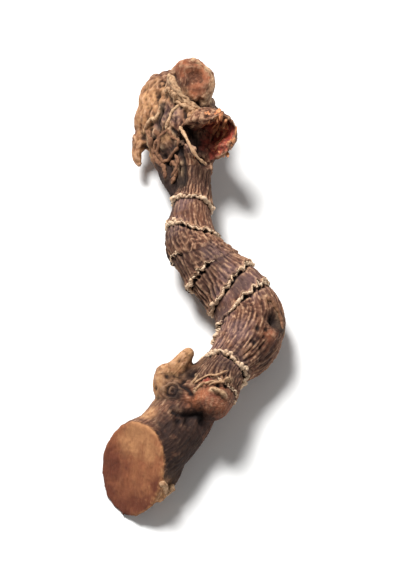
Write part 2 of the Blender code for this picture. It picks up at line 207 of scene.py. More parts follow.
# %% The limbs of this piece
FOOT_CUT = ((-11.3, -34.3, 6.6), (-0.59, -0.45, 0.67), 10.8)
KNOB_CUT = ((-1.3, 35.9, 15.7), (0.12, -0.34, 0.93), 3.5)
STATIONS = {
    "shaft": [
        (-3.3, 37.6, 7.4, 4.6),
        (-3.0, 33.1, 7.2, 6.3),
        (-2.2, 28.2, 7.1, 5.4),
        (-1.1, 22.7, 7.1, 3.5),
        (-1.0, 19.5, 7.0, 2.9),
        (-1.2, 16.1, 7.0, 3.3),
        (-1.7, 10.5, 6.9, 4.1),
        (-0.8, 6.5, 6.8, 4.7),
        (2.0, 2.9, 6.5, 5.1),
        (5.5, -0.9, 6.1, 5.5),
        (8.0, -4.6, 5.8, 5.8),
        (8.7, -8.4, 5.7, 6.0),
        (7.4, -12.6, 6.3, 5.2),
        (4.7, -16.7, 7.3, 3.9),
        (2.9, -20.6, 8.7, 3.9),
        (2.0, -24.2, 9.6, 3.5),
    ],
    "foot": [
        (3.6, -16.6, 6.2, 3.6),
        (-0.2, -20.8, 5.6, 4.8),
        (-3.7, -25.7, 5.3, 5.3),
        (-6.6, -29.9, 5.5, 5.7),
        (-9.9, -32.8, 6.0, 6.3),
        (-12.7, -36.6, 6.3, 6.6),
        (-17.2, -44.5, 7.2, 6.6),
    ],
    "knob": [(-2.8, 34.4, 8.0, 4.4), (-2.2, 35.7, 11.0, 3.8), (-1.6, 36.7, 13.6, 4.1)],
    "left_lobe": [
        (-4.2, 39.0, 8.8, 3.1),
        (-7.2, 37.6, 8.3, 3.2),
        (-8.6, 33.8, 7.0, 3.0),
        (-8.4, 30.6, 5.0, 2.6),
    ],
    "heel": [(-3.4, 32.6, 6.0, 3.4), (-4.6, 33.0, 2.4, 2.9)],
    "torn_shoot": [(-1.4, 28.8, 8.0, 4.4), (0.3, 27.2, 10.4, 4.3), (1.5, 26.2, 13.0, 4.7)],
    "sheath": [
        (-6.6, 29.6, 6.2, 3.0),
        (-6.2, 25.0, 5.8, 2.3),
        (-5.0, 20.4, 5.8, 1.6),
        (-3.6, 16.8, 6.1, 0.9),
    ],
    "tongue": [
        (-8.9, 31.6, 5.6, 2.0),
        (-10.7, 29.6, 5.4, 1.3),
        (-11.1, 27.2, 4.9, 1.1),
        (-10.7, 25.2, 4.5, 0.8),
    ],
    "side_lobe": [
        (1.6, -22.4, 8.3, 3.0),
        (-3.0, -22.6, 8.0, 3.0),
        (-5.7, -20.6, 7.8, 2.4),
        (-5.9, -18.4, 8.2, 2.0),
    ],
    "finger": [(-5.6, -18.8, 8.2, 1.7), (-3.8, -17.2, 9.0, 1.4), (-1.9, -15.2, 9.7, 1.2)],
    "cut_tab": [(-4.2, -34.4, 4.4, 1.5), (-5.4, -36.8, 4.1, 1.3), (-6.8, -39.2, 3.5, 0.75)],
    "elbow_bud": [(8.6, -8.8, 7.0, 4.2), (10.7, -9.6, 8.0, 3.2), (11.7, -9.9, 8.5, 2.5)],
}
CUTS = {"foot": FOOT_CUT, "knob": KNOB_CUT}
limbs = {name: Limb(stations, CUTS.get(name)) for name, stations in STATIONS.items()}
shaft = limbs["shaft"]
for name, limb in limbs.items():
    thin, thick = limb.radius.min(), limb.radius.max()
    print(f"{name:10} {limb.along[-1]:5.1f} mm long, radius {thin:.1f} to {thick:.1f} mm")

# %% [markdown]
# ## One skin over all the limbs
# Each limb becomes a tube with round ends. The tubes overlap, and a Remesh modifier in voxel
# mode melts them into one closed skin, which a Boolean union would leave with hard seams. A
# little smoothing then fills the valleys where the limbs meet, as growing tissue does. Where a
# knife has cut a limb, the points beyond the plane slide back along the limb onto it.

# %% Tubes
TUBE_SIDES = 40
CAP_ROWS = [math.radians(a) for a in (80, 55, 30)]
SAMPLES_A_ROW = 2


def grid_faces(rows, columns, around=True):
    """Quads over a grid of points, joined round its columns or open."""
    faces = []
    for row in range(rows - 1):
        for k in range(columns if around else columns - 1):
            a, b = row * columns + k, row * columns + (k + 1) % columns
            faces.append((a, b, b + columns, a + columns))
    return faces


def tube(limb):
    """Corner points and faces of the limb's tube."""
    last = len(limb.centre) - 1
    rows = [(0, -math.sin(a), math.cos(a)) for a in CAP_ROWS]
    rows += [(i, 0.0, 1.0) for i in range(0, last + 1, SAMPLES_A_ROW)]
    rows += [(last, math.sin(a), math.cos(a)) for a in reversed(CAP_ROWS)]
    angles = np.arange(TUBE_SIDES) * 2 * math.pi / TUBE_SIDES
    points = []
    for i, push, shrink in rows:
        ring = np.outer(np.cos(angles), limb.side[i]) + np.outer(np.sin(angles), limb.up[i])
        points.append(limb.centre[i] + limb.radius[i] * (push * limb.tangent[i] + shrink * ring))
    points = np.vstack(points)
    if limb.cut:
        place, way = np.array(limb.cut[0]), unit(limb.cut[1])
        beyond = np.maximum(0, (points - place) @ way)
        direction = limb.tangent[nearest_sample(place[None], limb.centre)[0]]
        points -= np.outer(beyond / (direction @ way), direction)
    faces = grid_faces(len(rows), TUBE_SIDES)
    faces.append(tuple(range(TUBE_SIDES))[::-1])
    faces.append(tuple(range((len(rows) - 1) * TUBE_SIDES, len(rows) * TUBE_SIDES)))
    return points, faces


def mesh_of(name, shapes):
    """One mesh that holds all the shapes, each given as points and faces."""
    points, faces, first = [], [], 0
    for corners, sides in shapes:
        points.append(corners)
        faces += [tuple(first + k for k in face) for face in sides]
        first += len(corners)
    mesh = bpy.data.meshes.new(name)
    mesh.from_pydata(np.vstack(points).tolist(), [], faces)
    return mesh


# %% Remesh and smooth
BASE_VOXEL = 0.42
BASE_SMOOTHING = 6


def modified(mesh, kind, **settings):
    """The mesh after one of Blender's modifiers."""
    helper = bpy.data.objects.new("helper", mesh)
    bpy.context.scene.collection.objects.link(helper)
    modifier = helper.modifiers.new(kind, kind)
    for key, value in settings.items():
        setattr(modifier, key, value)
    graph = bpy.context.evaluated_depsgraph_get()
    made = bpy.data.meshes.new_from_object(helper.evaluated_get(graph))
    bpy.data.objects.remove(helper)
    bpy.data.meshes.remove(mesh)
    return made


def corners_of(mesh):
    """The mesh's corner points and their normals, as arrays."""
    count = len(mesh.vertices)
    points, normals = np.empty(count * 3), np.empty(count * 3)
    mesh.vertices.foreach_get("co", points)
    mesh.vertices.foreach_get("normal", normals)
    return points.reshape(-1, 3), normals.reshape(-1, 3)


def move_corners(mesh, points):
    """Puts the mesh's corners at these points."""
    mesh.vertices.foreach_set("co", np.asarray(points, np.float32).ravel())
    mesh.update()


body = mesh_of("rhizome_body", [tube(limb) for limb in limbs.values()])
body = modified(body, "REMESH", mode="VOXEL", voxel_size=BASE_VOXEL)
body = modified(body, "SMOOTH", factor=0.5, iterations=BASE_SMOOTHING)
print("melted skin:", len(body.vertices), "corners")

# %% [markdown]
# ## Noise and soft steps
# Nothing on a dried rhizome is even. Three small helpers make all its unevenness: rough gives
# smooth noise at each point, hill a round bump of a stated width, and fade a straight ramp.

# %% Noise, hill and fade
def rough(points):
    """Smooth noise from about -1 to 1 at each point."""
    return np.array([noise.noise(p) for p in np.asarray(points).tolist()])


HILL_SPREAD = 0.6


def hill(distance, width):
    """A round hill of height 1 that is about width across at half its height."""
    return np.exp(-((distance / (HILL_SPREAD * width)) ** 2))


def fade(value, low, high):
    """0 up to low, 1 from high, and straight between them."""
    return np.clip((value - low) / (high - low), 0, 1)


print("noise at three points", rough([(0.3, 0.1, 0), (1.7, 0.4, 2), (5.2, 3.3, 1)]).round(2))

# %% [markdown]
# ## Torn hollows
# Where a shoot was ripped off, the crown is left with an open, ragged cup, and the knob has a
# shallow dish. Both are pressed into the skin: points near the mouth move down along it, the
# most in the middle, and noise makes the rim ragged. A fresh, finer remesh then gives the walls
# of the cup as many corners as the rest.

# %% Press the hollows in
HOLLOWS = [
    ((1.2, 25.0, 13.5), (0.30, -0.42, 0.86), 4.0, 5.4, 0.7, 0.30, 0.22),
    ((-1.7, 35.6, 15.6), (0.12, -0.34, 0.93), 2.8, 0.35, 0.3, 0.0, 0.15),
]
CORNER_TURN = math.radians(35)
MOUTH_EDGE = 0.9
PRESS = 0.9
FINE_VOXEL = 0.232
FINE_SMOOTHING = 4


def mouth_axes(way):
    """The directions to the right and up in the plane of a mouth that opens this way."""
    right = unit(np.array([1.0, 0, 0]) - way[0] * way)
    return right, np.cross(way, right)


def open_hollows(points):
    """Points pushed down into each mouth: centre, way, radius, depth, raggedness, slope, corners."""
    for place, way, radius, depth, ragged, slope, corners in HOLLOWS:
        way = unit(way)
        right, up = mouth_axes(way)
        away = points - place
        height = away @ way
        across = np.linalg.norm(away - np.outer(height, way), axis=1)
        turn = np.arctan2(away @ up, away @ right)
        near = fade(height, -0.5 * depth - 0.3, -0.5 * depth)
        near *= 1 - fade(across, 1.5 * radius, 2 * radius)
        torn = fade(height, -2, 0) * (slope * away[:, 0] + ragged * rough(points * 0.5))
        mouth = radius * (1 + corners * np.cos(3 * (turn - CORNER_TURN)))
        mouth += ragged * rough(points * 0.45 + 9)
        inside = 1 - fade(across, mouth - MOUTH_EDGE, mouth)
        points = points + np.outer(near * (torn - inside * PRESS * (depth + height)), way)
    return points


move_corners(body, open_hollows(corners_of(body)[0]))
body = modified(body, "REMESH", mode="VOXEL", voxel_size=FINE_VOXEL)
body = modified(body, "SMOOTH", factor=0.5, iterations=FINE_SMOOTHING)
print("fine skin:", len(body.vertices), "corners")

# %% [markdown]
# ## Rings
# Every ring marks where a scale leaf once clasped the stem. Just above it the skin swells, just
# below it drops into a shaded groove. A ring is described by its place along the shaft, how far
# it leans towards the right side, an extra reach on the left side, and how tall its lip stands.
# The scale's torn edge runs in small arches, and under each arch is a gap, pressed in and later
# given painted shade. The relief is worked out for every corner at once from its length and angle
# on the limb.

# %% Rings
SHAFT_RINGS = [
    (16.0, 0.3, 0.0, 0.35),
    (22.7, 0.3, 0.0, 0.60),
    (29.2, 2.4, 0.0, 0.65),
    (33.6, 2.2, 0.0, 0.40),
    (36.9, 0.3, 0.0, 0.60),
    (41.7, -1.3, 0.0, 0.65),
    (45.7, -1.2, 9.0, 0.65),
    (60.0, 0.3, 0.0, 0.65),
    (65.2, 0.5, 0.0, 0.55),
]
RING_WAVE = 0.40
RING_LIP_WIDTH = 0.70
RING_SWELL = 0.26
RING_STEP = 0.34
RING_STEP_LENGTH = 1.6
RING_EDGE = 0.15
BEADS_ROUND = 4.0
ARCHES_ROUND = 18
ARCH = 1.0
GAP_DEPTH = 0.55
RIDGE_RISE = 2.5

# How strong the torn lip of each shaft ring is on the left and on the right
RING_STRENGTH = [
    (0.0, 0.0),
    (1.25, 1.25),
    (1.25, 0.9),
    (0.60, -1.0),
    (1.40, -0.7),
    (1.2, 1.5),
    (1.1, 1.2),
    (1.0, 1.3),
    (0.35, 0.5),
]

# How deep the arches of each shaft ring are, as a share of ARCH
RING_ARCHES = [0.0, 0.35, 0.8, 0.6, 1.0, 0.9, 1.1, 0.8, 0.5]


def round_limb(angle):
    """A point on the unit circle for each angle, for noise that meets itself round a limb."""
    return np.column_stack([np.cos(angle), np.sin(angle), np.zeros(len(angle))])


def ring_place(number, ring, angle):
    """Where along the limb the ring lies, at each angle."""
    place, lean, left, _ = ring
    wave = RING_WAVE * rough(round_limb(angle) * 1.9 + 10 * number)
    return place + lean * np.cos(angle) + left * np.maximum(0, -np.cos(angle)) ** 3 + wave


def arches(number, angle):
    """Height in mm of the arches along the torn edge of a ring, at each angle."""
    turn = round_limb(angle)
    swing = 0.5 * ARCHES_ROUND * (angle + 0.30 * rough(turn * 1.7 + 5 * number)) + 1.3 * number
    uneven = np.clip(0.55 + 1.1 * rough(turn * 4.3 + 20 + number), 0.12, 1.1)
    return ARCH * RING_ARCHES[number] * uneven * np.abs(np.sin(swing)) ** 0.7


def strength_at(number, angle):
    """How strong the torn lip of a shaft ring is, at each angle."""
    left, right = RING_STRENGTH[number]
    return np.maximum(0, left + (right - left) * (0.5 + 0.5 * np.cos(angle)))


def ring_relief(rings, along, angle):
    """Height of the rings, rings passed, way to the next and past the last, and the gaps under the arches,
    which get painted shade.
    """
    beads = 0.8 + 0.6 * rough(round_limb(angle) * BEADS_ROUND + 40)
    relief, passed, gap = (np.zeros(len(along)) for _ in range(3))
    to_next = np.full(len(along), 2 * RIDGE_RISE)
    since = np.full(len(along), 2 * RIDGE_RISE)
    for number, ring in enumerate(rings):
        place = ring_place(number, ring, angle)
        strength = strength_at(number, angle)
        arch = np.minimum(strength, 1) * arches(number, angle)
        past = along - place + arch
        lower_side = 0.5 + 0.5 * np.tanh(past / RING_EDGE)
        step = RING_SWELL - (RING_SWELL + RING_STEP) * lower_side
        open_gap = fade(past, 0.0, 0.15) * (1 - fade(along - place, 0.05, 0.40))
        gap = np.maximum(gap, open_gap * fade(arch, 0.08, 0.35))
        relief += 0.5 * ring[3] * beads * hill(past + 0.15, RING_LIP_WIDTH) * np.minimum(strength, 1)
        relief += (0.35 + 0.65 * np.minimum(strength, 1)) * step * np.exp(-np.abs(past) / RING_STEP_LENGTH)
        passed += past > 0
        to_next = np.where((past < 0) & (-past < to_next), -past, to_next)
        since = np.where((past >= 0) & (past < since), past, since)
    return relief - GAP_DEPTH * gap, passed, to_next, since, gap


ring_gaps = np.diff([ring[0] for ring in SHAFT_RINGS]).round(1)
print("the shaft has", len(SHAFT_RINGS), "rings,", ring_gaps, "mm apart")

# %% [markdown]
# ## Lengthwise wrinkles
# As the rhizome dries, its soft flesh shrinks and the skin folds lengthwise into ridges with
# narrow furrows between them. Three sets are laid over each other: strong ridges about a
# millimetre apart, finer broken fibres, and a crinkle that runs every way. How much of each
# there is changes from one ring to the next, so each stretch between rings has its own three
# heights. The ridges meander, start afresh at every ring and rise towards the next one.

# %% Wrinkles
RIDGES_ROUND = 32
RIDGE_MEANDER = 0.36
RIDGE_START = 0.40
LEFT_RIDGES = 0.9

# Heights of ridges, fibres and crinkle before the first ring and after each one
STRETCHES = [
    (0.20, 0.10, 0.12),
    (0.24, 0.10, 0.04),
    (0.07, 0.08, 0.05),
    (0.08, 0.20, 0.30),
    (0.20, 0.16, 0.22),
    (0.25, 0.14, 0.10),
    (0.02, 0.06, 0.05),
    (0.06, 0.19, 0.17),
    (0.28, 0.14, 0.08),
    (0.00, 0.04, 0.26),
]
PLAIN_LIMB = (0.02, 0.08, 0.12)
PLAIN_KNOB = (0.0, 0.01, 0.06)
EVEN_GRAIN = np.array([1.0, 1.0, 3.0])

# Lengths along the shaft over which its relief fades in below the crown and out onto the dome
BELOW_CROWN = (13, 16)
ONTO_DOME = (65.6, 66.4)


def ridge_phase(along, angle, passed):
    """The phase of the strong ridges at each point."""
    turn = np.column_stack([np.cos(angle), np.sin(angle)])
    slow = rough(np.column_stack([1.5 * turn, along * 0.16 + passed * 3.7]))
    quick = rough(np.column_stack([5 * turn, along * 0.45 + passed * 3.7]))
    return RIDGES_ROUND * (angle + RIDGE_MEANDER * slow) + 2.0 * quick + 2.1 * passed


def wrinkles(along, angle, passed):
    """Strong ridges, fine fibres and crinkle, each from about -1 to 1."""
    turn = np.column_stack([np.cos(angle), np.sin(angle)])
    share = fade(rough(np.column_stack([2.2 * turn, along * 0.30 + 30])), -0.55, 0.45)
    strong = np.tanh(1.3 * np.sin(ridge_phase(along, angle, passed)) + 0.3) * (0.15 + 0.85 * share)
    fine = 1.5 * rough(np.column_stack([13 * turn, along * 0.45 + passed * 5.3]))
    broken = np.column_stack([5 * turn, along * 1.1])
    crinkle = 0.4 - 1.6 * np.abs(rough(broken + 11))
    return strong, fine, crinkle


def limb_relief(name, along, angle):
    """Rings and wrinkles of one limb, the way past the last ring, and the gaps that get painted shade."""
    own_rings = SHAFT_RINGS if name == "shaft" else []
    rings, passed, to_next, since, gap = ring_relief(own_rings, along, angle)
    rise = RIDGE_START + (1 - RIDGE_START) * np.exp(-to_next / RIDGE_RISE)
    strong, fine, crinkle = wrinkles(along, angle, passed)
    if name != "shaft":
        heights = PLAIN_KNOB if name == "knob" else PLAIN_LIMB
        return rings + heights[0] * strong + heights[1] * fine + heights[2] * crinkle, since, gap
    heights = np.array(STRETCHES)[passed.astype(int)]
    left = 1 + LEFT_RIDGES * np.maximum(0, -np.cos(angle))
    made = rings + heights[:, 0] * left * rise * strong
    made += heights[:, 1] * fine + heights[:, 2] * crinkle
    on_shaft = fade(along, *BELOW_CROWN) * (1 - 0.6 * fade(along, *ONTO_DOME))
    return on_shaft * made, since, gap


BLEND = 0.5
WEAKEST_SHARE = 0.004
CAP_START = 0.3


def blended_relief(points):
    """Each limb's relief blended where limbs meet, the way past a ring, the gaps and the grain."""
    relief, weights, strongest, gaps = (np.zeros(len(points)) for _ in range(4))
    since = np.full(len(points), 2 * RIDGE_RISE)
    grain = np.zeros((len(points), 3))
    for name, limb in limbs.items():
        along, angle, height = limb.coordinates(points)
        weight = np.exp(-np.abs(height) / BLEND)
        near = np.flatnonzero(weight > WEAKEST_SHARE)
        made, past, gap = limb_relief(name, along[near], angle[near])
        relief[near] += weight[near] * made
        weights[near] += weight[near]
        wins = weight[near] > strongest[near]
        strongest[near[wins]] = weight[near[wins]]
        since[near[wins]], gaps[near[wins]] = past[wins], gap[wins]
        round_it = limb.radius.mean() * np.column_stack([np.cos(angle), np.sin(angle)])
        capped = (name == "knob") | (along > limb.along[-1] - CAP_START)
        own_grain = np.column_stack([round_it, along])
        own_grain = np.where(capped[:, None], points * EVEN_GRAIN, own_grain)
        grain[near[wins]] = own_grain[near[wins]]
    return relief / np.maximum(weights, 1e-9), since, gaps, grain


points, _ = corners_of(body)
relief, since_ring, gaps, grain = blended_relief(points)
print("rings and wrinkles reach from", relief.min().round(2), "to", relief.max().round(2), "mm")

# %% [markdown]
# ## Scars, torn lips and the gnarled crown
# Buds and rootlets leave round scars like eyes: a raised rim, a groove inside it, and a small
# pit in the middle. Round the crown, torn scales leave lips that stand up along crooked lines,
# and the skin between them is crumpled. Noise whose sign is dropped has a sharp crease wherever
# it was zero, and turned over those creases become the sharp ridges of crumpled skin. Sculpting
# by hand could make all this too, but named places and sizes are easier to correct.

# %% Scars
# Place, radius and depth of each scar on the upper side
SCARS = [
    (-6.6, 37.6, 10.9, 1.3, 0.3), (-4.8, -22.5, 10.6, 1.4, 0.40), (-1.9, 30.0, 14.4, 1.9, 0.35),
]

# Place, radius and height of each small swelling
BOSSES = [
    ((-1.9, 30.2, 13.8), 1.7, 0.8),
    ((-4.7, 30.0, 13.2), 0.6, 0.6),
    ((-2.4, 36.1, 15.7), 0.5, 0.30),
    ((-1.2, 35.2, 15.5), 0.5, 0.30),
    ((-4.5, 34.9, 13.4), 0.7, 0.35),
    ((-3.5, 33.6, 13.8), 0.6, 0.40),
    ((-2.6, 32.6, 14.0), 0.7, 0.35),
    ((-1.2, 31.7, 14.2), 0.6, 0.35),
    ((-6.2, 26.8, 9.4), 1.4, 0.5),
    ((2.6, -23.4, 12.8), 0.7, 0.5),
    ((-3.0, -15.6, 10.8), 0.6, 0.30),
    ((-4.6, -17.2, 10.4), 0.7, 0.35),
    ((-7.2, -19.8, 9.4), 0.8, 0.35),
    ((-6.4, -22.0, 10.2), 0.7, 0.30),
    ((4.0, -23.8, 12.6), 0.6, 0.4),
]

# The bud on the elbow: a hollow under its hood, and the core in it
BUD_HOLLOW = ((12.9, -9.2, 10.4), 2.4, 1.7)
BUD_CORE = ((12.5, -12.3, 10.3), 1.2, 1.0)
PITS = [
    (10.1, -12.9, 11.0), (11.1, -12.5, 10.8), (11.4, -13.6, 10.3), (11.3, -11.2, 11.0),
    (9.8, -11.1, 11.2), (10.6, -14.6, 10.2), (12.6, -14.2, 9.0), (9.2, -13.6, 10.8),
    (-1.8, 29.9, 14.6), (-0.2, 34.2, 15.0), (-3.6, -21.0, 10.8),
]
PIT_RADIUS = 0.45
PIT_DEPTH = 0.4

# Place, radius and depth of each notch
NOTCHES = [
    ((-12.6, -41.0, 0.8), 1.2, 0.9),
    ((-10.4, -41.8, 1.6), 0.9, 1.0),
    ((-9.0, -41.2, 3.6), 0.8, 0.6),
    ((3.0, -22.6, 12.8), 0.9, 0.7),
    ((4.6, -22.4, 12.4), 0.9, 0.6),
    ((13.3, -9.4, 10.2), 1.3, 0.9),
    ((-3.6, -17.0, 10.6), 0.7, 0.30),
    ((-5.6, -19.6, 10.2), 0.9, 0.40),
    ((-7.6, -21.4, 8.8), 0.8, 0.35),
    ((-1.6, -27.6, 10.2), 2.0, 1.1),
    ((-3.6, -28.0, 10.6), 1.4, 0.7),
    ((0.8, -28.4, 8.8), 1.4, 0.8),
    ((-1.2, -18.9, 9.6), 1.5, 1.0),
    ((-6.9, 31.6, 11.9), 1.2, 0.6),
]
ROOT_SCAR_COUNT = 18
ROOT_SCAR_SEED = 7
ROOT_SCAR_SPREAD = 55


def root_scars():
    """Scars of roots over the underside of the shaft and the foot, in the form of SCARS."""
    draw = random.Random(ROOT_SCAR_SEED)
    scars = []
    for k in range(ROOT_SCAR_COUNT):
        limb = limbs["foot" if k % 3 == 0 else "shaft"]
        along = limb.along[-1] * draw.uniform(0.12, 0.85)
        angle = math.radians(-90 + draw.uniform(-ROOT_SCAR_SPREAD, ROOT_SCAR_SPREAD))
        centre, out, radius = limb.spoke(along, angle)
        scars.append((*(centre + radius * out), draw.uniform(0.9, 1.6), 0.55))
    return scars


def distance(points, place):
    """How far each point is from this place."""
    return np.linalg.norm(points - place, axis=1)


def scar_relief(points):
    """Height of the scars, bosses, pits and notches over the skin, and how much painted shade each point
    gets.
    """
    relief, dark = np.zeros(len(points)), np.zeros(len(points))
    for x, y, z, radius, depth in SCARS + root_scars():
        away = distance(points, (x, y, z)) / radius + 0.24 * rough(points * 1.1)
        groove = hill(away - 0.68, 0.30)
        rim, pit = 0.5 * hill(away - 0.98, 0.35), 0.8 * hill(away, 0.25)
        relief += depth * (rim - 0.9 * groove - 0.5 * hill(away, 0.9) - pit)
        # painted shade in the scar's groove and middle pit
        dark = np.maximum(dark, min(1, 1.3 * depth) * np.maximum(groove, hill(away, 0.22)))
    for place, radius, depth in (BUD_HOLLOW, *NOTCHES):
        away = distance(points, place) / radius
        relief -= depth * hill(away, 1.0)
        # painted shade in the bud hollow and the notches
        dark = np.maximum(dark, 0.9 * hill(away, 0.8))
    for place, radius, height in BOSSES:
        relief += height * hill(distance(points, place), 1.6 * radius)
    for place in PITS:
        pit = hill(distance(points, place), 2 * PIT_RADIUS)
        relief -= PIT_DEPTH * pit
        dark = np.maximum(dark, pit)
    place, radius, height = BUD_CORE
    core = hill(distance(points, place), 1.3 * radius)
    return relief + height * core, dark * (1 - core)


scars, scar_shade = scar_relief(points)
print("scars:", len(SCARS) + ROOT_SCAR_COUNT, "- deepest", scars.min().round(2), "mm")

# %% Torn lips of the crown
# Lines in plan along which the skin is raised. Most of them get a strand of their own as well
LIPS = {
    "knob_collar": [(-5.7, 37.2), (-4.5, 35.4), (-3.6, 33.6), (-1.8, 32.3), (0.2, 31.4)],
    "crown_arc": [(-3.6, 32.0), (-4.8, 31.2), (-5.6, 29.6), (-6.1, 28.2)],
    "lobe_edge": [(-7.0, 32.8), (-7.7, 31.0), (-8.8, 31.2), (-9.9, 30.2)],
    "collar_middle": [(-5.3, 36.4), (-4.5, 34.3), (-3.2, 32.8), (-1.7, 31.7), (0.5, 30.9)],
    "collar_low": [(-6.2, 36.0), (-5.0, 34.2), (-4.1, 32.6), (-2.6, 31.5), (-0.8, 30.7)],
    "pointed_scale": [(-5.7, 28.2), (-8.0, 26.4), (-6.2, 23.8), (-3.8, 25.3), (-5.7, 28.2)],
    "left_curl": [(-9.6, 30.2), (-9.0, 28.4), (-8.5, 26.8), (-7.9, 24.9), (-7.4, 23.8)],
    "middle_curl": [(-5.2, 23.7), (-4.6, 22.6), (-4.0, 21.4), (-4.6, 20.4), (-5.0, 19.4)],
    "lobe_strip": [(-8.0, 29.2), (-7.2, 27.0), (-7.6, 24.8), (-6.4, 22.6), (-6.2, 20.6)],
    "neck_strip": [(-3.2, 22.4), (-3.0, 20.8), (-3.4, 19.4), (-3.1, 18.0)],
    "dome_strand": [(5.2, -21.0), (4.2, -21.6), (3.0, -22.0), (1.6, -22.2), (0.2, -22.4), (-0.8, -23.2)],
    "dome_flap": [(1.9, -23.6), (2.7, -23.8), (3.4, -23.9), (4.2, -24.4)],
    "dome_tip": [(-0.3, -20.0), (-0.8, -20.8), (-1.4, -21.6)],
    "knob_edge": [(-1.3, 39.4), (0.9, 38.2), (2.0, 36.2), (1.6, 34.2), (0.4, 32.8)],
    "hood_edge": [(11.4, -4.8), (12.6, -5.9), (13.5, -7.3), (14.0, -8.7), (14.1, -10.0)],
    "tab_upper": [(-6.6, -38.2), (-5.9, -38.7), (-5.1, -38.2), (-4.6, -37.5), (-4.0, -37.6)],
    "tab_lower": [(-7.2, -40.4), (-6.5, -40.0), (-5.9, -39.4), (-5.5, -38.6)],
}
LIP_WIDTH = 0.7
LIP_HEIGHT = 0.38
LIP_LOWEST = 6.0
LINE_STEP = 0.3
BUD = ((-6.4, 25.8, 9.2), 0.45, 0.5)


def upper_side(points):
    """1 on the upper side, 0 below LIP_LOWEST."""
    return fade(points[:, 2], LIP_LOWEST, LIP_LOWEST + 1)


def along_lines(points, lines, width):
    """A long hill of height 1 over each of these lines in plan."""
    share, plan = np.zeros(len(points)), points[:, :2]
    for line in lines:
        samples = smooth_line(line, LINE_STEP)
        away = np.linalg.norm(plan - samples[nearest_sample(plan, samples)], axis=1)
        share = np.maximum(share, hill(away, width))
    return share


def lip_relief(points):
    """Raised lips along lines on the upper side, and the bud inside the pointed scale."""
    place, radius, height = BUD
    bud = height * hill(distance(points, place), 2 * radius)
    return upper_side(points) * (LIP_HEIGHT * along_lines(points, LIPS.values(), LIP_WIDTH) + bud)


lips = lip_relief(points)
print("lips stand up to", lips.max().round(2), "mm")

# %% Creases where one part of the skin tucks under another
CREASES = {
    "under_lobe": [(-4.6, -26.5), (-3.7, -26.9), (-1.9, -26.8), (-0.3, -27.1), (0.2, -27.6)],
    "knob_side": [(-4.4, 36.6), (-3.7, 35.2), (-2.6, 33.9), (-1.6, 32.7), (0.2, 31.9)],
    "lobe_inside": [(-6.7, 33.0), (-7.0, 31.4), (-7.4, 30.0), (-7.0, 28.6)],
    "arch_inside": [(-4.2, 31.8), (-5.2, 30.6), (-5.9, 29.0)],
    "scale_left": [(-6.4, 28.4), (-8.6, 26.6), (-6.9, 23.6)],
    "scale_right": [(-4.9, 28.0), (-3.1, 25.4), (-5.4, 23.2)],
    "neck_left": [(-4.0, 25.2), (-2.9, 22.8), (-2.6, 20.4), (-2.8, 18.0)],
    "lobe_top": [(-2.8, -20.6), (-3.2, -21.6), (-2.2, -22.4), (-1.6, -23.4)],
}
CREASE_WIDTH = 0.75
CREASE_DEPTH = 0.55


def crease_relief(points):
    """Depth of the creases, and how much painted shade each point gets in them."""
    dark = upper_side(points) * along_lines(points, CREASES.values(), CREASE_WIDTH)
    return -CREASE_DEPTH * dark, dark


creases, crease_shade = crease_relief(points)
print("creases darken", int((crease_shade > 0.5).sum()), "corners")

# %% Crumpled and lumpy skin
# Patches of smooth tan skin: centre and radius
TAN = [
    (-8.6, 34.6, 9.8, 3.4), (-9.6, 31.8, 8.6, 2.6), (-5.6, 36.0, 11.0, 2.2), (-9.8, 27.0, 5.2, 2.6),
    (-4.2, 34.0, 13.2, 1.4), (-5.8, 27.2, 10.2, 1.6), (2.8, 32.6, 12.4, 1.0),
    (-7.0, -20.6, 9.0, 2.8), (-4.6, -18.0, 10.4, 2.6), (-2.0, -15.4, 10.6, 2.4),
    (-8.4, -26.6, 9.2, 1.6), (-5.6, -38.2, 5.0, 3.0), (-1.9, 30.2, 14.6, 1.6),
    (-6.4, 27.6, 10.4, 1.4), (-3.3, 33.6, 13.6, 1.5), (-1.4, 31.6, 14.2, 1.3),
]
PATCH_EDGE = 0.9
GNARL = (np.array([1.9, 4.2, 3.0]), 0.75)
CRUMPLE = (0.9, 0.32)
LUMP = (4.5, 0.35)
CUT_WAVE = (1.6, 0.16)
CUT_TOOTH = (0.5, 0.05)
CRACKS = (1.7, 0.5)

# Between these two places along y the shaft keeps its wrinkles, under the tan patches too
WRINKLES_FROM, WRINKLES_TO = 2, 21


def cut_faces(points):
    """1 on the knife cuts, 0 off them."""
    on_cut = np.zeros(len(points))
    for place, way, reach in (FOOT_CUT, KNOB_CUT):
        away = points - place
        near_plane = np.clip(1.6 - np.abs(away @ unit(way)) / 0.35, 0, 1)
        within = 1 - fade(np.linalg.norm(away, axis=1), reach - 0.8, reach)
        on_cut = np.maximum(on_cut, near_plane * within)
    return on_cut


def gnarl(points):
    """How gnarled the skin is at each point: 1 on the crown but for the knob's face, less elsewhere."""
    lobe = hill(distance(points, (-4, -22, 8)), 6)
    face = hill(distance(points, KNOB_CUT[0]), 6)
    return np.clip((fade(points[:, 1], 21, 25) + 0.7 * lobe) * (1 - 0.8 * face), 0, 1)


def tinted(points, patches):
    """How much of each point lies in the patches."""
    ragged = 0.5 * rough(points * 0.6 + 3) + 0.35 * rough(points * 1.7)
    share = np.zeros(len(points))
    for x, y, z, radius in patches:
        away = distance(points, (x, y, z)) / radius
        edge = fade(away + ragged, 1 - 0.5 * PATCH_EDGE, 1 + 0.5 * PATCH_EDGE)
        share = np.maximum(share, 1 - edge)
    return share


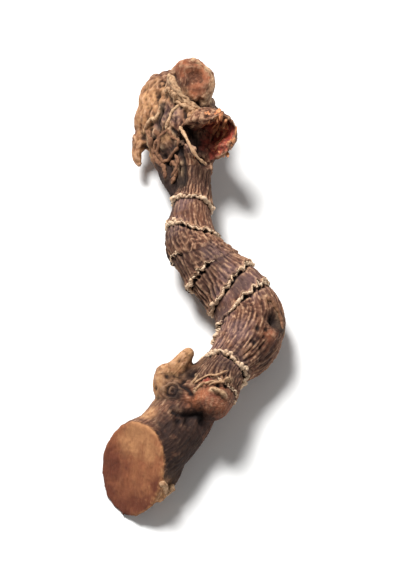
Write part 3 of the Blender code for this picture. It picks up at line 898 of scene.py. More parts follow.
on_cut = cut_faces(points)
gnarled = gnarl(points)
past_bend = fade(points[:, 1], WRINKLES_FROM, WRINKLES_FROM + 1)
below_crown = 1 - fade(points[:, 1], WRINKLES_TO - 1, WRINKLES_TO)
smooth_tan = tinted(points, TAN) * (1 - past_bend * below_crown)
creased = 0.25 - np.abs(rough(points / GNARL[0])) + 0.4 * rough(2 * points / GNARL[0])
creased += CRACKS[1] * smooth_tan * (0.2 - np.abs(rough(points / CRACKS[0] + 8)))
crumpled = 0.3 - np.abs(rough(points / CRUMPLE[0] + 5))
skin = 1 - on_cut
crumpled *= CRUMPLE[1] * (0.25 + 0.75 * gnarled) * (1 - 0.3 * smooth_tan)
raised = relief * (1 - 0.5 * gnarled) * (1 - 0.4 * smooth_tan) + GNARL[1] * gnarled * creased
raised += crumpled + scars + lips + creases
lumps = LUMP[1] * (0.25 + 0.75 * skin) * rough(points / LUMP[0])
for size, height in (CUT_WAVE, CUT_TOOTH):
    lumps += height * on_cut * rough(points / size)
on_cuts, in_gnarl = int((on_cut > 0.5).sum()), int((gnarled > 0.5).sum())
print("cut faces hold", on_cuts, "corners, gnarled skin", in_gnarl)

# %% [markdown]
# ## Raise the relief
# All of it moves the corners along their normals in one step, so the pieces of relief never
# fold over each other. What would sink below the table is held at z = 0, which leaves the small
# flat spots that the piece rests on.

# %% Move the skin
_, normals = corners_of(body)
points = points + normals * (skin * raised + lumps)[:, None]
points[:, 2] = np.maximum(points[:, 2], 0)
move_corners(body, points)
points, normals = corners_of(body)
print("skin spans", points.min(0).round(1), "to", points.max(0).round(1), "mm")

# %% [markdown]
# ## Let the skin remember its shape
# Crests get a painted highlight and furrows and folds get painted shade, on a scale that a
# shader can't see. So each corner is compared with a smoothed copy of the skin: above the copy is
# a crest, below it is a furrow. Averaging over neighbours a few times gives the fine wrinkles, and
# many times the deep folds. The two values are stored on the mesh as attributes, which a material
# can read.

# %% Crests and folds
CREST_ROUNDS = 6
FOLD_ROUNDS = 70
CREST_SIZE = 0.10
FOLD_SIZE = 0.45


def edges_of(mesh):
    """The two corners of every edge."""
    ends = np.empty(len(mesh.edges) * 2, int)
    mesh.edges.foreach_get("vertices", ends)
    return ends.reshape(-1, 2)


def spread(values, ends, rounds):
    """Values averaged with their neighbours' this many times."""
    a, b = ends.T
    count = len(values)
    shared = np.bincount(a, minlength=count) + np.bincount(b, minlength=count)
    for _ in range(rounds):
        total = np.empty_like(values)
        for k in range(values.shape[1]):
            near = np.bincount(a, values[b, k], count) + np.bincount(b, values[a, k], count)
            total[:, k] = near / shared
        values = 0.4 * values + 0.6 * total
    return values


ends = edges_of(body)
lightly = spread(points, ends, CREST_ROUNDS)
heavily = spread(lightly, ends, FOLD_ROUNDS)
crest = np.clip(np.einsum("ij,ij->i", points - lightly, normals) / CREST_SIZE, -1, 1)
fold = np.clip(np.einsum("ij,ij->i", points - heavily, normals) / FOLD_SIZE, -1, 1)
counts = [int(part.sum()) for part in (crest > 0.5, crest < -0.5, fold < -0.5)]
print("corners on crests, in furrows and in deep folds:", counts)

# %% [markdown]
# ## Where the skin changes colour
# The skin is not one brown. The side lobe and the finger are pale tan, the crown and the shaft
# have mauve grey parts, bare flesh is orange and torn walls are red. Dusky patches on the shaft's
# left side and round the lobe and neck are darker skin with painted shade, and the foot's right
# flank, the neck's left side and the hollows hold nearly black skin and painted shade. The cut face
# is redder on its left and paler at its top. Painting an image would do it too, but patches stay
# sharp at any size: each tint is a few soft round ones, with a centre, a radius and an edge that
# noise breaks up.

# %% Patches of colour
PATCHES = {
    "grey": [
        (2.6, 3.4, 11.4, 2.0), (6.4, -11.6, 11.0, 2.4), (-6.9, 31.4, 11.8, 1.7),
        (-7.4, 29.6, 10.0, 1.7), (-4.2, 30.6, 13.2, 1.4), (-1.0, 23.4, 13.0, 1.8),
        (-3.2, 14.2, 9.6, 1.8), (-4.4, 9.6, 9.6, 2.0), (5.4, -0.6, 11.4, 2.4),
        (8.2, -2.4, 11.0, 2.8), (4.0, -3.6, 10.0, 2.0), (3.2, -8.6, 10.2, 2.6),
        (2.2, -12.6, 10.2, 2.2), (5.6, -17.4, 10.4, 2.2),
    ],
    "bare": [
        (1.7, -25.4, 12.0, 3.2), (2.6, -27.6, 9.4, 3.2), (-1.0, -24.6, 11.0, 1.8),
        (1.4, 37.0, 15.2, 1.9), (-0.6, 39.2, 15.4, 1.6), (-2.8, 38.0, 15.2, 1.6),
        (-0.4, 34.2, 15.4, 1.5), (12.5, -12.3, 10.8, 1.9), (11.6, -14.0, 10.4, 1.2),
    ],
    "red": [
        (3.9, 26.2, 11.4, 3.1), (4.8, 26.0, 12.4, 2.2), (1.0, -21.8, 12.6, 0.7),
    ],
    # nearly black skin with painted shade: the foot under the lobe, the neck's left side, the hollow's
    # lower side, the elbow's hood and the shaft's lower left flank
    "dark": [
        (-0.5, -28.6, 8.4, 4.6), (-4.8, -29.6, 10.6, 3.0), (-2.4, -32.0, 8.6, 4.8),
        (-3.0, -35.6, 5.4, 3.2), (-5.4, 20.8, 6.6, 3.0), (-4.0, 24.6, 9.4, 2.0),
        (-5.4, 16.8, 6.8, 3.0), (-0.8, 26.0, 9.8, 2.6), (13.2, -9.3, 9.0, 2.2),
        (4.6, -18.6, 10.6, 1.4), (-5.6, -32.4, 9.4, 3.2), (-4.2, -23.2, 10.8, 1.3),
        (-1.4, -28.2, 9.6, 2.4), (-1.0, -31.0, 7.0, 4.0), (-4.6, -34.6, 7.6, 3.2),
        (-5.2, -35.6, 6.6, 2.2), (-6.6, 23.4, 7.6, 2.8), (-6.8, 21.4, 6.0, 2.4),
        (0.8, 23.8, 10.6, 1.6), (-4.4, 19.0, 8.0, 2.8), (-7.8, 27.0, 8.0, 1.6),
        (-1.4, -19.2, 10.0, 1.6), (-6.4, 9.6, 5.6, 1.8), (-5.4, 5.0, 5.4, 2.0),
        (-3.0, 0.6, 5.0, 2.0), (0.6, -2.8, 4.8, 2.0),
    ],
    # darker skin with painted shade: the shaft's left side, the neck, the side lobe and the lower shaft
    "dusk_and_shade": [
        (-5.6, -22.8, 10.0, 2.8), (-4.8, -20.8, 10.4, 2.2), (-5.2, 17.6, 7.6, 3.0),
        (-6.4, 31.6, 11.8, 1.7), (-6.0, 25.8, 9.4, 2.0), (1.6, 2.0, 11.6, 2.8),
        (-5.4, 9.4, 7.4, 2.6), (-3.2, 4.2, 8.4, 2.4), (3.6, -18.8, 11.6, 3.2),
        (6.0, -17.0, 9.4, 2.8), (1.2, -17.0, 9.0, 2.4), (0.6, 19.6, 9.0, 2.6),
        (-2.8, 18.4, 8.6, 2.4), (-4.6, 7.6, 8.6, 3.0), (-2.2, 2.4, 9.0, 3.0), (1.4, -1.6, 8.4, 2.8),
        (2.6, -7.0, 8.0, 3.0), (-4.4, 13.6, 7.6, 2.2), (6.4, -2.4, 11.4, 2.2),
        (11.4, -14.4, 8.0, 2.6),
    ],
    "cut_redder": [
        (-16.2, -33.2, 3.0, 4.0), (-16.6, -37.4, 0.6, 4.0), (-13.6, -41.0, 0.4, 3.6),
        (-9.6, -41.0, 3.2, 2.8), (-7.0, -39.0, 7.0, 1.6),
    ],
    "cut_paler": [
        (-9.8, -30.0, 10.2, 3.0), (-11.8, -31.0, 8.4, 2.2), (-8.6, -33.4, 9.6, 1.8),
    ],
}
RED_ON_DOME = 0.5
RING_SHADE = 1.4
cut_way = unit(FOOT_CUT[1])
across_cut = unit(np.cross(cut_way, limbs["foot"].tangent[-1]))
cut_axes = np.array([across_cut, cut_way, np.cross(across_cut, cut_way)])
grain = np.where(on_cut[:, None] > 0.5, points @ cut_axes.T, grain)

# 1 where the skin faces the middle line of the big hollow, and 0 on its outer side
from_mouth = points - HOLLOWS[0][0]
from_mouth -= np.outer(from_mouth @ unit(HOLLOWS[0][1]), unit(HOLLOWS[0][1]))
outwards = np.einsum("ij,ij->i", from_mouth, normals)
outwards /= np.maximum(np.linalg.norm(from_mouth, axis=1), 0.1)
inner_wall = 1 - fade(outwards, -0.1, 0.5)
on_foot = points[:, 1] < 0
values = {
    "crest": crest,
    "fold": fold,
    "cut": on_cut * on_foot,
    # a band just past each ring: the groove's mauve tone with painted shade under the lip
    "below_ring": np.exp(-since_ring / RING_SHADE) * skin,
    # nearly black painted shade: under ring arches, in scar grooves, pits, hollows, notches and creases,
    # weaker on the cut face
    "gap": np.maximum.reduce([gaps, scar_shade, 0.85 * crease_shade]) * (1 - 0.4 * on_cut),
    "lip": np.clip(lips / LIP_HEIGHT, 0, 1),
    # a pale rim where the cut's right edge is convex: part wear, part painted highlight
    "cut_edge": fade(crest, 0.1, 0.6) * (on_cut > 0.02) * fade(points[:, 0], -12, -9) * on_foot,
    "tan": tinted(points, TAN),
}
values |= {name: tinted(points, patches) for name, patches in PATCHES.items()}
values["red"] = values["red"] * np.where(points[:, 1] > 0, inner_wall, RED_ON_DOME)


def keep_values(mesh, values, grain):
    """Stores one number for each value, and the grain's vector, at every corner of the mesh."""
    for name, numbers in values.items():
        stored = mesh.attributes.new(name, "FLOAT", "POINT")
        stored.data.foreach_set("value", np.asarray(numbers, np.float32))
    stored = mesh.attributes.new("grain", "FLOAT_VECTOR", "POINT")
    stored.data.foreach_set("vector", np.asarray(grain, np.float32).ravel())


keep_values(body, values, grain)
print("stored", ", ".join(f"{name} {share.mean():.2f}" for name, share in values.items()), "and grain")

# %% [markdown]
# ## The beaded lips of the rings
# The torn edge of each scale leaf stays on its ring as a cream-coloured, beaded cord that casts
# a thin dark shadow. It is too fine for the skin's mesh, so it is a strand of its own. To find
# where it lies, a ray is shot inwards at every degree or so round the ring, and a BVH tree, which
# is a quick index of the mesh's faces, says where it meets the skin.

# %% Strands
TABLE_GAP = 0.02


def strand(points, outs, wide, high, closed=False, sides=8):
    """A cord through the points, with half its width and half its height at each."""
    points, outs = np.asarray(points, float), np.asarray(outs, float)
    if closed:
        ahead = np.roll(points, -1, 0) - np.roll(points, 1, 0)
    else:
        ahead = np.gradient(points, axis=0)
    ahead /= np.maximum(np.linalg.norm(ahead, axis=1), 1e-9)[:, None]
    side = np.cross(ahead, outs)
    side /= np.maximum(np.linalg.norm(side, axis=1), 1e-9)[:, None]
    out = np.cross(side, ahead)
    angles = np.arange(sides) * 2 * math.pi / sides
    across = np.cos(angles)[None, :, None] * (np.asarray(wide)[:, None] * side)[:, None, :]
    up = np.sin(angles)[None, :, None] * (np.asarray(high)[:, None] * out)[:, None, :]
    corners = (points[:, None, :] + across + up).reshape(-1, 3)
    corners[:, 2] = np.maximum(corners[:, 2], TABLE_GAP)
    rows = len(points)
    faces = grid_faces(rows, sides)
    if closed:
        last = (rows - 1) * sides
        faces += [(last + k, last + (k + 1) % sides, (k + 1) % sides, k) for k in range(sides)]
    else:
        faces.append(tuple(range(sides))[::-1])
        faces.append(tuple(range((rows - 1) * sides, rows * sides)))
    return corners, faces


skin_index = BVHTree.FromPolygons(points.tolist(), [tuple(p.vertices) for p in body.polygons])


def land(start, way, reach):
    """Where a ray from start meets the skin, and the skin's normal there, or None."""
    place, normal, _, _ = skin_index.ray_cast(Vector(start), Vector(way), reach)
    return (np.array(place), np.array(normal)) if place else None


print("the index holds", len(body.polygons), "faces")

# %% Lay a lip on every ring
RING_STEPS = 420
LIP_REACH = 4.0
LIP_RADIUS = 0.20
WEAKEST_LIP = 0.30
LOWEST_LIP = 0.15
LIP_WANDER = 0.22
OFF_TUBE = 1.3
SHORTEST_RUN = 8


def ring_runs(number, ring):
    """Stretches of the ring that lie on the shaft's own skin, each as places, normals, thickness."""
    angles = np.arange(RING_STEPS) * 2 * math.pi / RING_STEPS
    turn = round_limb(angles)
    strength = strength_at(number, angles)
    along = ring_place(number, ring, angles) - np.minimum(strength, 1) * arches(number, angles)
    shown = strength * (0.80 + 0.9 * rough(turn * 2.3 + 7 * number + 3))
    beads = 1 + 0.35 * rough(turn * 7 + 5 * number) + 0.5 * rough(turn * 2.6 + number)
    along += LIP_WANDER * rough(turn * 8 + 3 * number)
    runs, run = [], []
    for k in range(RING_STEPS + 1):
        i = k % RING_STEPS
        centre, out, radius = shaft.spoke(along[i] - 0.12, angles[i])
        met = land(centre + out * (radius + LIP_REACH), -out, 2 * LIP_REACH)
        on_shaft = met and abs((met[0] - centre) @ out - radius) < OFF_TUBE
        if on_shaft and shown[i] > WEAKEST_LIP and met[0][2] > LOWEST_LIP:
            thick = LIP_RADIUS * min(1.5, shown[i]) * beads[i]
            run.append((met[0] + 0.3 * thick * met[1], met[1], thick))
        elif run:
            runs.append(run)
            run = []
    if run:
        runs.append(run)
    return [r for r in runs if len(r) > SHORTEST_RUN]


def tapered(count, ends=3):
    """1 along a strand, falling to a point over the last few steps at both ends."""
    steps = np.minimum(np.arange(count), np.arange(count)[::-1])
    return np.clip((steps + 0.4) / ends, 0, 1) ** 0.6


ring_shapes = []
for number, ring in enumerate(SHAFT_RINGS):
    for run in ring_runs(number, ring):
        places, outs, thick = (np.array(part) for part in zip(*run))
        thick = thick * tapered(len(run))
        ring_shapes.append(strand(places, outs, 1.3 * thick, 0.9 * thick))
ring_lips = mesh_of("ring_lips", ring_shapes)
print("ring lips:", len(ring_shapes), "strands,", len(ring_lips.vertices), "corners")

# %% [markdown]
# ## Cream lips and brown strips of the crown
# The crown's torn scales end in the same cream edge, and strips of brown, shrivelled scale hang
# beside them. The same strand does both: its line in plan is dropped onto the skin from above.
# A few strands hang free of the skin, so their stations are given in all three directions. A
# curve object with a bevel could make them too, but it would be as round and even as a wire.

# %% Lay lips on the crown
# Half the height and half the width of each lip that is a strand
LIP_SIZES = {
    "knob_collar": (0.36, 0.32),
    "collar_middle": (0.34, 0.36),
    "collar_low": (0.34, 0.34),
    "crown_arc": (0.34, 0.34),
    "lobe_edge": (0.34, 0.30),
    "pointed_scale": (0.24, 0.30),
    "left_curl": (0.26, 0.40),
    "lobe_strip": (0.24, 0.36),
    "middle_curl": (0.30, 0.34),
    "dome_strand": (0.30, 0.22),
    "dome_flap": (0.40, 0.30),
    "dome_tip": (0.30, 0.20),
    "hood_edge": (0.30, 0.36),
    "tab_upper": (0.60, 0.55),
    "tab_lower": (0.55, 0.45),
}
BROWN_STRIPS = ("pointed_scale", "left_curl", "lobe_strip", "middle_curl", "scale_curl", "hood_edge")
LUMPS_PER_MM = 1.3

# Strands that hang free of the skin: their stations, and half their height and half their width
RIBBON = [(-3.6, 28.0, 12.9), (-2.6, 25.4, 14.0), (-1.6, 22.8, 14.5), (-0.4, 21.1, 13.8), (1.2, 20.6, 12.1)]
UPPER_FAN = [(4.6, -19.9, 12.9), (2.8, -20.9, 13.2), (1.2, -20.7, 12.5), (-1.0, -21.6, 11.4)]
LOWER_FAN = [(4.2, -22.2, 13.1), (2.4, -22.4, 13.3), (0.9, -22.7, 12.4), (-1.2, -22.7, 11.6)]
SCALE_CURL = [(-4.4, 23.6, 10.6), (-3.9, 22.2, 10.8), (-4.3, 20.8, 10.2), (-5.1, 20.0, 9.2)]
FREE_STRANDS = {
    "hollow_ribbon": (RIBBON, 0.22, 0.30),
    "dome_fan_upper": (UPPER_FAN, 0.12, 0.16),
    "dome_fan_lower": (LOWER_FAN, 0.13, 0.18),
    "scale_curl": (SCALE_CURL, 0.24, 0.30),
}
STRAND_STEP = 0.12
DROP = 25
LIP_SWAY = 0.22
END_STEPS = 5


def crown_lip(name, line):
    """One torn lip, standing on the skin along its line."""
    plan = smooth_line(line, STRAND_STEP)
    seed = np.array([sum(map(ord, name)) * 0.37, 0, 0])
    spots = np.column_stack([plan, np.zeros(len(plan))])
    sway = LIP_SWAY * rough(spots * 1.6 + seed)
    places, outs = [], []
    for x, y in plan + sway[:, None]:
        met = land((x, y, DROP), (0, 0, -1), DROP)
        if met:
            lean = unit(met[1] + (0, -0.25, 0.35))
            places.append(met[0] + 0.04 * lean)
            outs.append(lean)
    uneven = 1 + 0.7 * rough(spots[: len(places)] * LUMPS_PER_MM + seed)
    shape = tapered(len(places), END_STEPS)
    high, wide = LIP_SIZES[name]
    return strand(places, outs, wide * uneven * shape, high * uneven * shape)


def free_strand(stations, high, wide):
    """A flat, lumpy strand through stations that need not touch the skin."""
    places = smooth_line(stations, STRAND_STEP)
    uneven = 1 + 0.6 * rough(places * LUMPS_PER_MM)
    outs = np.tile(unit([0, -0.3, 1]), (len(places), 1))
    shape = tapered(len(places), END_STEPS)
    return strand(places, outs, wide * uneven * shape, high * uneven * shape)


lip_shapes = {name: crown_lip(name, LIPS[name]) for name in LIP_SIZES}
lip_shapes |= {name: free_strand(*given) for name, given in FREE_STRANDS.items()}
brown_strips = mesh_of("brown_strips", [lip_shapes.pop(name) for name in BROWN_STRIPS])
crown_lips = mesh_of("crown_lips", list(lip_shapes.values()))
print("crown:", len(lip_shapes), "cream lips and", len(BROWN_STRIPS), "brown strips")

# %% [markdown]
# ## Torn fibres
# A rhizome is full of tough strands that carry its sap. Where it was torn they stick out of the
# rim like a worn brush, and they line the wall of the hollow. Each one on the wall is found by
# shooting a ray from the hollow's middle line out to it, at one depth after another. A flake on
# the rim starts where a ray meets the rim from above, then leans inwards and droops. Blender's
# hair curves could do it too, but a mesh exports as it is.

# %% Fibres on the hollow's wall and rim
WALL_FIBRES = 46
FIBRE_STEPS = 9
FEWEST_MET = 5
RIM_FLAKES = 36
FLAKE_STEPS = 8
FLAKE_TOP = 17.4
FIBRE_SEED = 21
mouth, mouth_way, mouth_radius = HOLLOWS[0][:3]
mouth_way = unit(mouth_way)
mouth_right, mouth_up = mouth_axes(mouth_way)


def wall_fibre(draw):
    """One strand that lies on the hollow's wall, with more of them on the right."""
    turn = draw.gauss(0, 0.9)
    top, bottom = draw.uniform(-0.4, 0.8), draw.uniform(1.6, 3.2)
    drift = draw.uniform(-0.15, 0.15)
    places, outs = [], []
    for depth in np.linspace(top, bottom, FIBRE_STEPS):
        angle = turn + drift * depth
        out = math.cos(angle) * mouth_right + math.sin(angle) * mouth_up
        met = land(np.array(mouth) - depth * mouth_way, out, 7)
        if met:
            places.append(met[0])
            outs.append(met[1])
    if len(places) < FEWEST_MET:
        return None
    thick = draw.uniform(0.05, 0.12) * tapered(len(places))
    return strand(places, outs, thick, thick, sides=6)


def rim_flake(draw):
    """One torn flake that stands out of the rim on the right and bends over."""
    angle = draw.uniform(-0.9, 1.9)
    out = math.cos(angle) * mouth_right + math.sin(angle) * mouth_up
    start = np.array(mouth) + (mouth_radius + draw.uniform(-0.2, 0.7)) * out
    met = land(start + 5 * mouth_way, -mouth_way, 9)
    if not met:
        return None
    length = draw.uniform(0.8, 1.8)
    lean = 0.2 * mouth_way + draw.uniform(-0.9, 0.1) * out + draw.uniform(-0.6, 0.6) * mouth_up
    lean = unit(lean)
    droop = np.array([0, 0, -1.0]) * draw.uniform(0.1, 0.5)
    steps = np.linspace(-0.25, 1, FLAKE_STEPS)[:, None]
    places = met[0] + length * (steps * lean + steps**2 * droop)
    places[:, 2] = np.minimum(places[:, 2], FLAKE_TOP)
    thick = draw.uniform(0.12, 0.24) * tapered(FLAKE_STEPS)
    return strand(places, np.tile(met[1], (FLAKE_STEPS, 1)), 1.8 * thick, 0.6 * thick, sides=6)


draw = random.Random(FIBRE_SEED)
fibre_shapes = [shape for shape in (wall_fibre(draw) for _ in range(WALL_FIBRES)) if shape]
flake_shapes = [shape for shape in (rim_flake(draw) for _ in range(RIM_FLAKES)) if shape]
torn_fibres = mesh_of("torn_fibres", fibre_shapes)
rim_flakes = mesh_of("rim_flakes", flake_shapes)
print("torn fibres:", len(fibre_shapes), "on the wall,", len(flake_shapes), "on the rim")

# %% [markdown]
# ## Colours
# Colours are written as they look on a screen, from 0 to 255, and turned into the linear light
# that Blender's nodes work in.

# %% Colours of the finishes
def colour(red, green, blue):
    """A screen colour as linear light, with full opacity."""
    shares = [v / 255 for v in (red, green, blue)]
    return (*[s / 12.92 if s < 0.04 else ((s + 0.055) / 1.055) ** 2.4 for s in shares], 1.0)


SKIN = colour(110, 70, 52)
DEEP_SKIN = colour(76, 46, 37)
STREAK_SKIN = colour(158, 115, 86)
# The groove's mauve tone below a ring, darkened as painted shade under the lip
BELOW_RING_SHADE = colour(84, 59, 51)
# Pale wear in random flecks, and the painted highlight on crests
WORN_AND_HIGHLIGHT = colour(208, 165, 130)
# Dark lines along the streaks, and painted shade in furrows and folds
FURROW_AND_SHADE = colour(34, 20, 16)
# Nearly black painted shade for gaps, scars, hollows and creases
GAP_SHADE = colour(18, 11, 10)
CREAM = colour(240, 216, 186)
LIP_BROWN = colour(206, 170, 136)
CROWN_LIP = colour(212, 178, 140)
CROWN_LIP_DEEP = colour(140, 102, 74)
BROWN_STRIP = colour(146, 106, 78)
TAN_SKIN = colour(202, 154, 108)
TAN_DEEP = colour(156, 106, 72)
GREY_SKIN = colour(118, 90, 87)
FLESH = colour(182, 105, 67)
FLESH_DEEP = colour(116, 61, 45)
TORN_RED = colour(206, 90, 66)
TORN_DEEP = colour(140, 68, 62)
TORN_TAN = colour(222, 162, 114)
# Nearly black skin, and painted shade
DARK_SKIN_AND_SHADE = colour(40, 28, 25)
CUT_FACE = colour(140, 82, 54)
CUT_RED = colour(90, 42, 31)
CUT_PALE = colour(196, 142, 96)
CUT_LINE = colour(106, 60, 42)
print("skin in linear light", [round(v, 3) for v in SKIN])

# %% [markdown]
# ## Node groups
# Several finishes need the same effects, so each effect is a node group: it is built once, and
# every material places it with its own values. Streaks follow the grain, which was stored on the
# mesh as a vector whose third number runs along the limb. Squeezing that number makes noise into
# long streaks. Mottle is two sizes of noise in space, and Pitted skin is a height for fine bumps.

# %% Helpers for nodes
def node(tree, kind, inputs=None, **settings):
    """A new node with its settings, and its inputs linked or set."""
    made = tree.nodes.new(kind)
    for key, value in settings.items():
        setattr(made, key, value)
    for key, value in (inputs or {}).items():
        if isinstance(value, bpy.types.NodeSocket):
            tree.links.new(value, made.inputs[key])
        else:
            made.inputs[key].default_value = value
    return made


def new_group(name, inputs, outputs):
    """An empty node group with its sockets, and its input and output nodes."""
    group = bpy.data.node_groups.new(name, "ShaderNodeTree")
    for socket, value in inputs.items():
        made = group.interface.new_socket(socket, in_out="INPUT", socket_type="NodeSocketFloat")
        made.default_value = value
    for socket in outputs:
        group.interface.new_socket(socket, in_out="OUTPUT", socket_type="NodeSocketFloat")
    return group, group.nodes.new("NodeGroupInput"), group.nodes.new("NodeGroupOutput")


def attribute(tree, name, output="Fac"):
    """The socket that reads a value stored on the mesh."""
    return node(tree, "ShaderNodeAttribute", attribute_name=name).outputs[output]


def maths(tree, operation, a, b=0.5, clamp=False):
    """One sum on two numbers or sockets."""
    return node(tree, "ShaderNodeMath", {0: a, 1: b}, operation=operation, use_clamp=clamp).outputs[0]


def ramp(tree, value, low, high):
    """0 at low, 1 at high, clamped."""
    inputs = {"Value": value, "From Min": low, "From Max": high}
    return node(tree, "ShaderNodeMapRange", inputs, clamp=True).outputs["Result"]


def mix(tree, share, a, b):
    """Colour a turned into colour b by share."""
    made = tree.nodes.new("ShaderNodeMix")
    made.data_type = "RGBA"
    for index, value in ((0, share), (6, a), (7, b)):
        if isinstance(value, bpy.types.NodeSocket):
            tree.links.new(value, made.inputs[index])
        else:
            made.inputs[index].default_value = value
    return made.outputs[2]


def noise_at(tree, place, scale, detail):
    """Noise at this place, from 0 to 1, as a socket."""
    inputs = {"Vector": place, "Scale": scale, "Detail": detail}
    return node(tree, "ShaderNodeTexNoise", inputs).outputs["Fac"]


def laid_over(tree, tone, layers):
    """The tone with each layer laid over it in turn. A layer is a share and a colour."""
    for share, layer in layers:
        tone = mix(tree, share, tone, layer)
    return tone


print("node helpers are ready")

# %% The shared effects
def streaks_group():
    """Long streaks along the grain, 0 to 1."""
    group, given, out = new_group("Streaks", {"Per millimetre": 2.0, "Stretch": 10.0}, ["Streak"])
    grain = attribute(group, "grain", "Vector")
    inputs = {0: grain, 3: given.outputs["Per millimetre"]}
    scaled = node(group, "ShaderNodeVectorMath", inputs, operation="SCALE").outputs[0]
    x, y, z = node(group, "ShaderNodeSeparateXYZ", {0: scaled}).outputs
    along = maths(group, "DIVIDE", z, given.outputs["Stretch"])
    place = node(group, "ShaderNodeCombineXYZ", {"X": x, "Y": y, "Z": along}).outputs[0]
    lines = noise_at(group, place, 1.0, 3.0)
    group.links.new(ramp(group, lines, 0.28, 0.72), out.inputs["Streak"])
    return group


def mottle_group():
    """Two sizes of noise in space, 0 to 1."""
    group, given, out = new_group("Mottle", {"Per metre": 300.0}, ["Large", "Small"])
    place = node(group, "ShaderNodeTexCoord").outputs["Object"]
    per_metre = given.outputs["Per metre"]
    finer = maths(group, "MULTIPLY", per_metre, 5.0)
    for size, scale, detail in (("Large", per_metre, 3.0), ("Small", finer, 4.0)):
        spots = noise_at(group, place, scale, detail)
        group.links.new(ramp(group, spots, 0.3, 0.7), out.inputs[size])
    return group


def pitted_group():
    """Height of fine pits and grains."""
    group, given, out = new_group("Pitted skin", {"Per metre": 3500.0}, ["Height"])
    place = node(group, "ShaderNodeTexCoord").outputs["Object"]
    per_metre = given.outputs["Per metre"]
    grains = noise_at(group, place, per_metre, 4.0)
    cells = node(group, "ShaderNodeTexVoronoi", {"Vector": place, "Scale": per_metre})
    pits = ramp(group, cells.outputs["Distance"], 0.0, 0.45)
    total = maths(group, "ADD", grains, maths(group, "MULTIPLY", pits, 0.4))
    group.links.new(total, out.inputs["Height"])
    return group


STREAKS, MOTTLE, PITTED = streaks_group(), mottle_group(), pitted_group()


def place_group(tree, group, **inputs):
    """A copy of the group in a material, with its own values."""
    inputs = {name.replace("_", " "): value for name, value in inputs.items()}
    return node(tree, "ShaderNodeGroup", inputs, node_tree=group)


print("groups:", ", ".join(g.name for g in (STREAKS, MOTTLE, PITTED)))

# %% [markdown]
# ## The skin's material
# The material starts from plain brown skin and lays one thing over another, as a painter does:
# mottling and streaks, then the tints, then a painted highlight on crests and painted shade in
# furrows and folds, then the cut face, which is bare flesh with its own fibrous grain, and at last
# the nearly black painted shade in gaps, scars and creases. A list of shares and colours, from the
# first laid to the last, keeps that order easy to see and change.

# %% Skin material
SHINE = 0.18


def new_material(name, roughness):
    """A material with a dull Principled shader, its node tree and the shader."""
    material = bpy.data.materials.new(name)
    material.use_nodes = True
    tree = material.node_tree
    shader = tree.nodes["Principled BSDF"]
    shader.inputs["Roughness"].default_value = roughness
    shader.inputs["Specular IOR Level"].default_value = SHINE
    return material, tree, shader


def bumped(tree, shader, height, strength, distance):
    """Gives the shader bumps of this height in metres."""
    bump = node(tree, "ShaderNodeBump", {"Height": height, "Strength": strength, "Distance": distance})
    tree.links.new(bump.outputs["Normal"], shader.inputs["Normal"])


